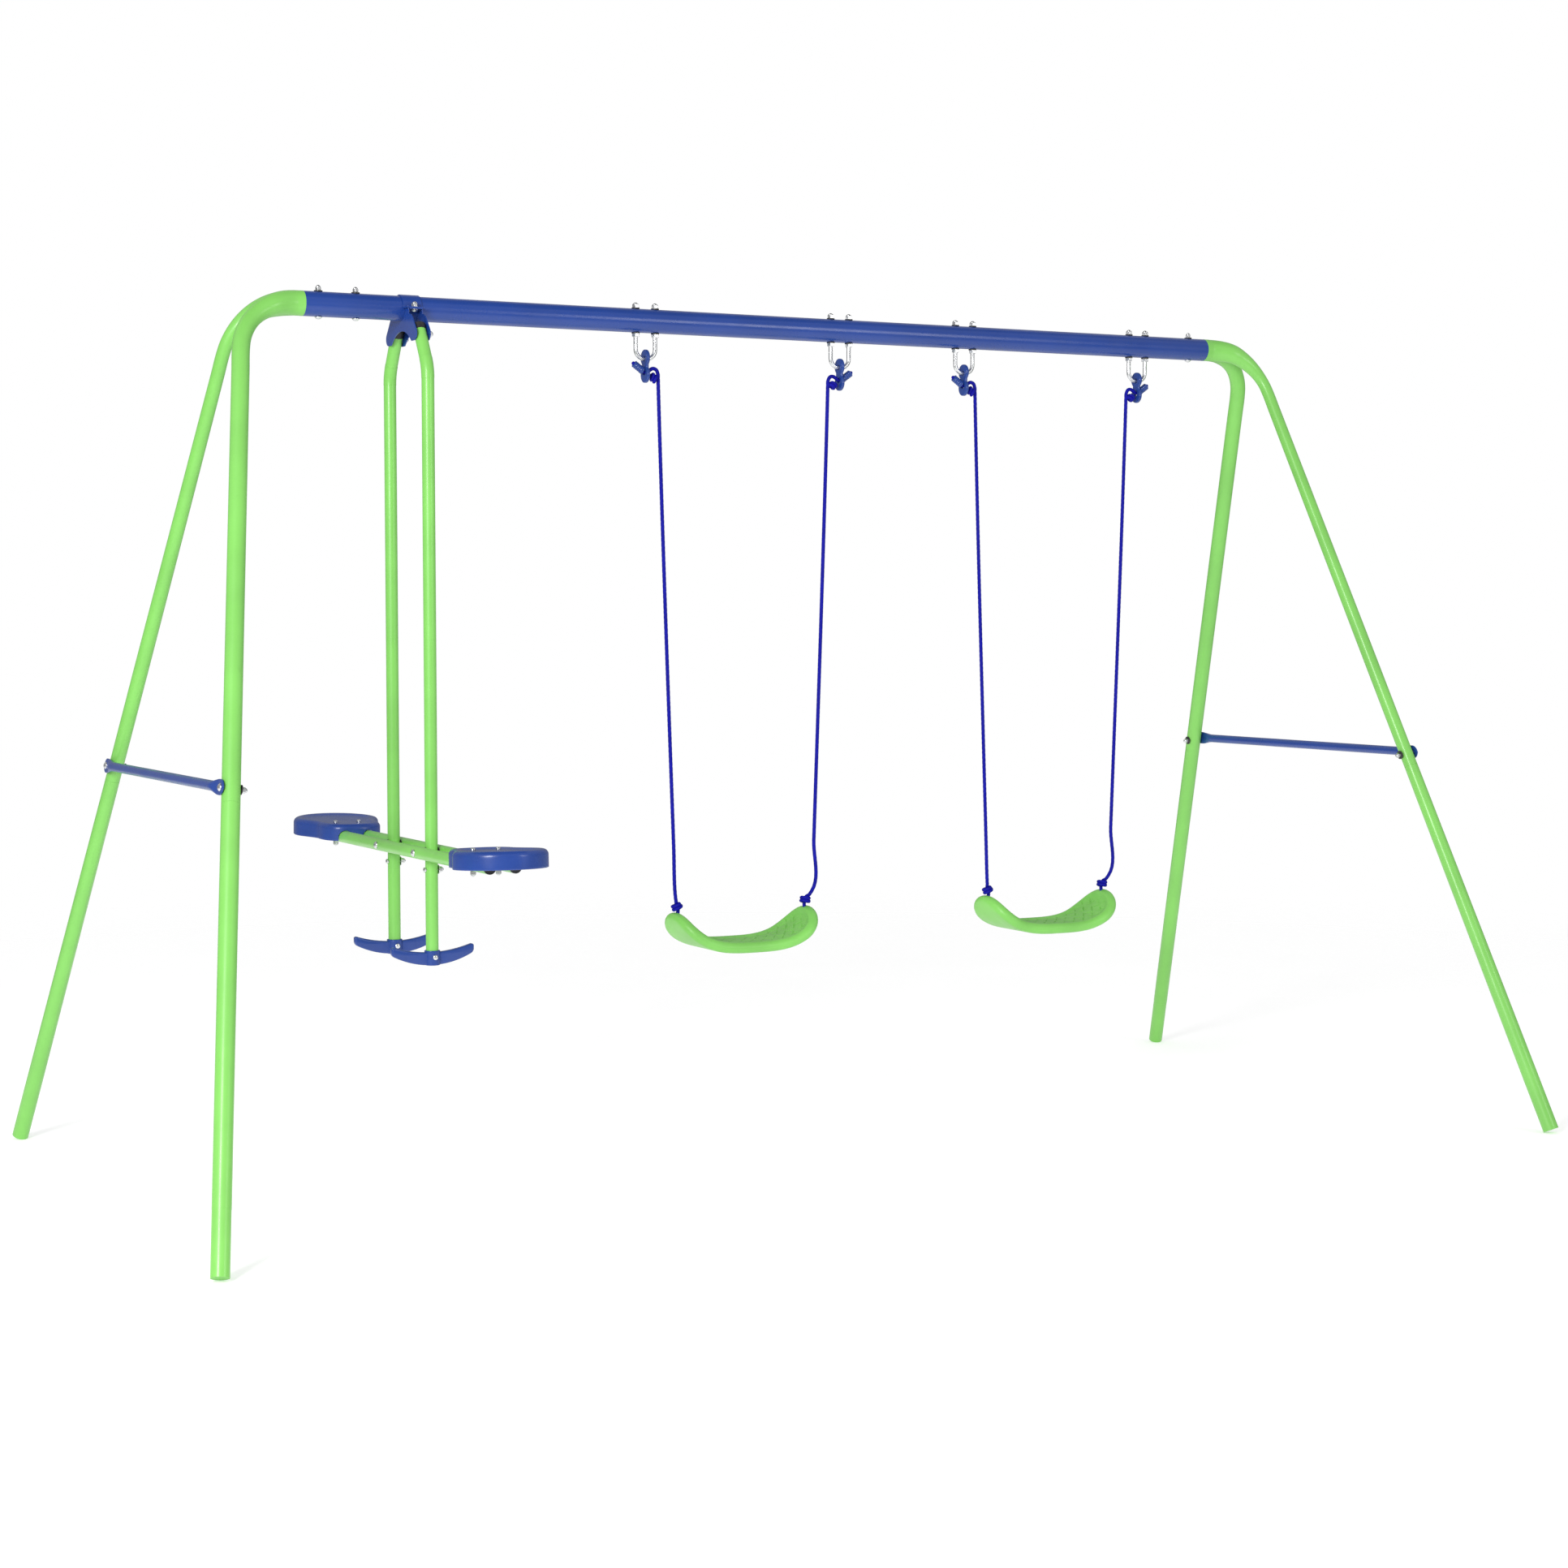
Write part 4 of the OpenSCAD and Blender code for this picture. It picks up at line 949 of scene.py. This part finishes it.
class EndFrame:
    """Upper half of an A-frame: a stub that narrows round its bend into a thick leg, and a thin leg."""

    seam_share = 0.5475
    bend = 125 * MM
    bend_shares = (0.3, 1, 8)
    straight_shares = (0.05, 0.3, 0.6, 0.9)
    level_length = 16 * MM
    wall = 1.5 * MM
    lip_height, lip_at, lip_width = 0.9 * MM, 2 * MM, 1.6 * MM
    thick_taper = (18 * MM, 135 * MM)
    thin_taper = (18 * MM, 185 * MM)
    thick_r = 17.5 * MM
    thin_top_r, thin_seam_r = 13 * MM, 15 * MM
    thin_length = 900 * MM
    thin_inside = 0.1 * MM
    cutter_past = 10 * MM
    step, sides = 4 * MM, 64

    def __init__(self, side, thick_foot, thin_foot):
        low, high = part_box("beam_left" if side < 0 else "beam_right")
        self.side = side
        self.start_x = low.x if side < 0 else high.x
        self.beam_z = (low.z + high.z) / 2
        self.beam_r = (high.z - low.z) / 2
        self.thick = self.leg_line(mounts[thick_foot])
        self.thin = self.leg_line(mounts[thin_foot])

    def leg_line(self, mount):
        """Corner of a leg at the beam's height and the seam where its lower half begins."""
        at, way = np.array(mount["pos_m"]), unit(np.array(mount["axis"]))
        corner = at + way * (self.beam_z - at[2]) / way[2]
        foot = at + way * mount["dims"]["length_mm"] / 2 * MM
        return corner, corner + self.seam_share * (foot - corner)

    def rounded_corner(self, start, corner, end):
        """The later part of the arc that takes a path round a corner."""
        a, b = unit(start - corner), unit(end - corner)
        opening = math.acos(a.dot(b))
        setback = self.bend / math.tan(opening / 2)
        middle = corner + unit(a + b) * self.bend / math.sin(opening / 2)
        first, last = corner + a * setback - middle, corner + b * setback - middle
        total = math.pi - opening
        return [middle + (first * math.sin((1 - t) * total) + last * math.sin(t * total)) / math.sin(total)
                for t in np.linspace(*self.bend_shares)]

    def path(self, line):
        """Centre line of a leg: out of the beam, round the bend and down to the seam."""
        corner, seam = line
        start = np.array((self.start_x, 0, self.beam_z))
        bend = self.rounded_corner(np.array((self.start_x, corner[1], self.beam_z)), corner, seam)
        level = start + np.array((self.side * self.level_length, 0, 0))
        straight = [bend[-1] + (seam - bend[-1]) * t for t in self.straight_shares]
        return smooth_path([start, level] + bend + straight + [seam], self.step)

    def narrowing(self, at, last, taper):
        """Radius of a leg at a distance along it: the beam's, with a small lip, down to the leg's own."""
        low, high = taper
        lip = self.lip_height * math.exp(-((at - self.lip_at) / self.lip_width) ** 2)
        return self.beam_r + (last - self.beam_r) * smooth((at - low) / (high - low)) + lip

    def thick_radius(self, at):
        return self.narrowing(at, self.thick_r, self.thick_taper)

    def thin_radius(self, at):
        """The thin leg's radius, which grows towards the seam and starts just inside the thick leg's."""
        spread = min(at / self.thin_length, 1) * (self.thin_seam_r - self.thin_top_r)
        return self.narrowing(at, self.thin_top_r, self.thin_taper) + spread - self.thin_inside

    def leg(self, path, radius, grow):
        return tube("leg", path, lambda at, angle: (radius(at) + grow) * np.ones_like(angle), self.sides)

    def build(self, name):
        """Both legs as one hollow object, open at the beam and at the seams."""
        thick, thin = self.path(self.thick), self.path(self.thin)
        skin = self.leg(thick, self.thick_radius, 0)
        combine(skin, [self.leg(thin, self.thin_radius, 0)], "UNION")
        hollows = []
        for path, radius in ((thick, self.thick_radius), (thin, self.thin_radius)):
            before = path[0] - unit(path[1] - path[0]) * self.cutter_past
            past = path[-1] + unit(path[-1] - path[-2]) * self.cutter_past
            hollows.append(self.leg(np.vstack([before, path, past]), radius, -self.wall))
        combine(skin, hollows, "DIFFERENCE")
        skin.name = name
        return skin


class Brace:
    """Cross tube pressed flat at both ends, where a bolt holds it to the outer side of each leg."""

    tube = 9.75 * MM
    spade = 15 * MM
    thin = 1.6 * MM
    flat_length = 9 * MM
    neck_end = 52 * MM
    above_seam = 30 * MM
    stand_off = 2.2 * MM
    flat_squareness = 0.45
    tip_share = 0.999
    sides = 48
    tip_stations, neck_stations, middle_stations = 14, 39, 58

    def __init__(self, end_frame):
        lines = sorted((end_frame.thick, end_frame.thin), key=lambda line: line[1][1])
        first, last = (seam + unit(corner - seam) * self.above_seam for corner, seam in lines)
        self.along = unit(last - first)
        across_plane = np.cross(self.along, end_frame.thick[1] - end_frame.thick[0])
        self.out = unit(across_plane) * np.sign(across_plane[0]) * end_frame.side
        self.up = np.cross(self.out, self.along)
        self.start = first + self.out * (end_frame.thick_r + self.stand_off)
        self.length = np.linalg.norm(last - first)

    def section(self, at):
        """Half height and half thickness at a distance from the first bolt."""
        near = min(at, self.length - at)
        if near < 0:
            return math.sqrt(max(0.0, self.spade ** 2 - near ** 2)), self.thin
        roundness = smooth((near - self.flat_length) / (self.neck_end - self.flat_length))
        return (self.spade + (self.tube - self.spade) * roundness,
                self.thin + (self.tube - self.thin) * roundness)

    def stations(self):
        """Distances from the first bolt to each ring of points."""
        tip = -self.spade * self.tip_share * np.cos(np.linspace(0, math.pi / 2, self.tip_stations))
        neck = np.linspace(0, self.neck_end, self.neck_stations + 1)[1:]
        middle = np.linspace(self.neck_end, self.length - self.neck_end, self.middle_stations + 2)[1:-1]
        end = np.concatenate([tip, neck])
        return np.concatenate([end, middle, self.length - end[::-1]])

    def ring(self, at):
        """Points around the brace: an ellipse on the tube, squared off where it is pressed flat."""
        high, thick = self.section(at)
        angle = np.arange(self.sides) * 2 * math.pi / self.sides
        flatness = (self.tube - thick) / (self.tube - self.thin)
        power = 1 - self.flat_squareness * flatness
        u = np.sign(np.cos(angle)) * np.abs(np.cos(angle)) ** power * high
        v = np.sign(np.sin(angle)) * np.abs(np.sin(angle)) ** power * thick
        return self.start + self.along * at + u[:, None] * self.up + v[:, None] * self.out

    def build(self, name):
        rings = [self.ring(at) for at in self.stations()]
        return new_object(name, np.vstack(rings), ring_faces(len(rings), self.sides))


def build_end_frames():
    ends = (("left", -1, "front_left_foot", "rear_left_foot"),
            ("right", 1, "rear_right_foot", "front_right_foot"))
    for end, side, thick_foot, thin_foot in ends:
        end_frame = EndFrame(side, thick_foot, thin_foot)
        skin = end_frame.build(f"{end}_end_skin")
        finish_piece(skin, "green_steel", "frame", f"{end}_end_frame", sharp=50)
        brace = Brace(end_frame).build(f"{end}_pressed_brace")
        finish_piece(brace, "blue_steel", "frame", f"{end}_brace", sharp=50)


# ---- stage, light and camera ----

WHITE = (1, 1, 1, 1)
FLOOR_SOLID, FLOOR_GONE = 2.0, 5.5
FLOOR_GLOW = 0.34
MATT_FILL = 0.66
# (height in the sky from straight down 0 to straight up 1, brightness) as glossy surfaces see it
REFLECTED_SKY = ((0.5, 0.3), (0.62, 0.3), (0.89, 0.6), (0.91, 0.12))
REFLECTED_FLOOR, REFLECTED_ZENITH = 0.45, 0.12


def pale_floor(center):
    """A pale matt floor that fades into the background with distance."""
    bpy.ops.mesh.primitive_circle_add(vertices=96, radius=FLOOR_GONE, fill_type="NGON", location=center)
    floor = bpy.context.object
    floor.name = "stage_floor"
    s = Shader("stage_floor")
    distance = s.add("ShaderNodeVectorMath", {0: s.place}, operation="LENGTH")
    fade = s.add("ShaderNodeMapRange", {"Value": distance.outputs["Value"], "From Min": FLOOR_SOLID,
                                        "From Max": FLOOR_GONE, "To Min": 1.0, "To Max": 0.0})
    s.surface({
        "Base Color": s.ramp(s.noise(2.5, detail=4), (0.88, 0.88, 0.88), (0.92, 0.92, 0.92)),
        "Roughness": 0.85,
        "Emission Color": WHITE,
        "Emission Strength": FLOOR_GLOW,
        "Alpha": fade.outputs["Result"],
    })
    s.bump((s.noise(180, detail=2), 0.5 * MM, 0.1))
    floor.data.materials.append(s.material)


def reflected_sky(w):
    """Brightness of the world by height for glossy surfaces: soft walls, a bright band, a dim ceiling."""
    split = w.add("ShaderNodeSeparateXYZ", {0: w.add("ShaderNodeTexCoord").outputs["Generated"]})
    height = w.add("ShaderNodeMapRange", {"Value": split.outputs["Z"], "From Min": -1.0})
    walls = w.add("ShaderNodeValToRGB", {"Fac": height.outputs["Result"]})
    stops = [(walls.color_ramp.elements.new(position), grey) for position, grey in REFLECTED_SKY]
    ends = walls.color_ramp.elements
    for stop, grey in stops + [(ends[0], REFLECTED_FLOOR), (ends[-1], REFLECTED_ZENITH)]:
        stop.color = (grey, grey, grey, 1)
    return walls.outputs["Color"]


def studio_world():
    """White to the camera, a soft fill for matt surfaces and dimmer in reflections."""
    world = bpy.data.worlds.new("studio")
    world.use_nodes = True
    bpy.context.scene.world = world
    w = Nodes(world.node_tree)
    ray = w.add("ShaderNodeLightPath").outputs
    lit = w.add("ShaderNodeMix", {0: ray["Is Glossy Ray"], 2: MATT_FILL, 3: reflected_sky(w)})
    seen = w.add("ShaderNodeMix", {0: ray["Is Camera Ray"], 2: lit.outputs[0], 3: 1.0})
    w.put(world.node_tree.nodes["Background"], {"Color": WHITE, "Strength": seen.outputs[0]})


def softbox(name, place, target, size, watts):
    light = bpy.data.lights.new(name, "AREA")
    light.shape = "RECTANGLE"
    light.size, light.size_y = size
    light.energy = watts
    obj = bpy.data.objects.new(name, light)
    obj.location = place
    obj.rotation_euler = (Vector(target) - Vector(place)).to_track_quat("-Z", "Y").to_euler()
    bpy.context.scene.collection.objects.link(obj)


def front_camera(beam_height):
    """Stands in front of the glider's end, a little above half the beam's height, looking slightly down."""
    camera = bpy.data.cameras.new("camera")
    camera.sensor_width = 36
    camera.lens = 65.09
    camera.clip_end = 100
    obj = bpy.data.objects.new("camera", camera)
    obj.location = Vector((-1.6424, -3.0985, 0.6565)) * beam_height
    obj.rotation_euler = Euler((math.radians(90 - 3.53), 0, math.radians(-27.81)))
    bpy.context.scene.collection.objects.link(obj)
    bpy.context.scene.camera = obj


def build_pieces():
    build_swing_seats()
    for number in ("1", "2"):
        swing = Swing(number)
        build_links(swing)
        build_sleeves(swing)
        build_ropes(swing)
    build_glider_seats()
    build_footrests()
    build_end_frames()


def build_studio():
    low, high = (Vector(corner) for corner in cad_box)
    beam_low, beam_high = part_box("beam_middle")
    pale_floor(((low.x + high.x) / 2, (low.y + high.y) / 2, low.z))
    studio_world()
    softbox("key", place=(-4.9, -4.0, 2.7), target=(0, 0, 1.0), size=(1.4, 2.2), watts=250)
    softbox("fill", place=(2.8, -5.4, 2.2), target=(0.3, 0, 0.9), size=(1.6, 2.0), watts=45)
    front_camera((beam_low.z + beam_high.z) / 2)
    bpy.context.scene.view_settings.view_transform = "Standard"


dress_cad_nodes()
build_pieces()
build_studio()
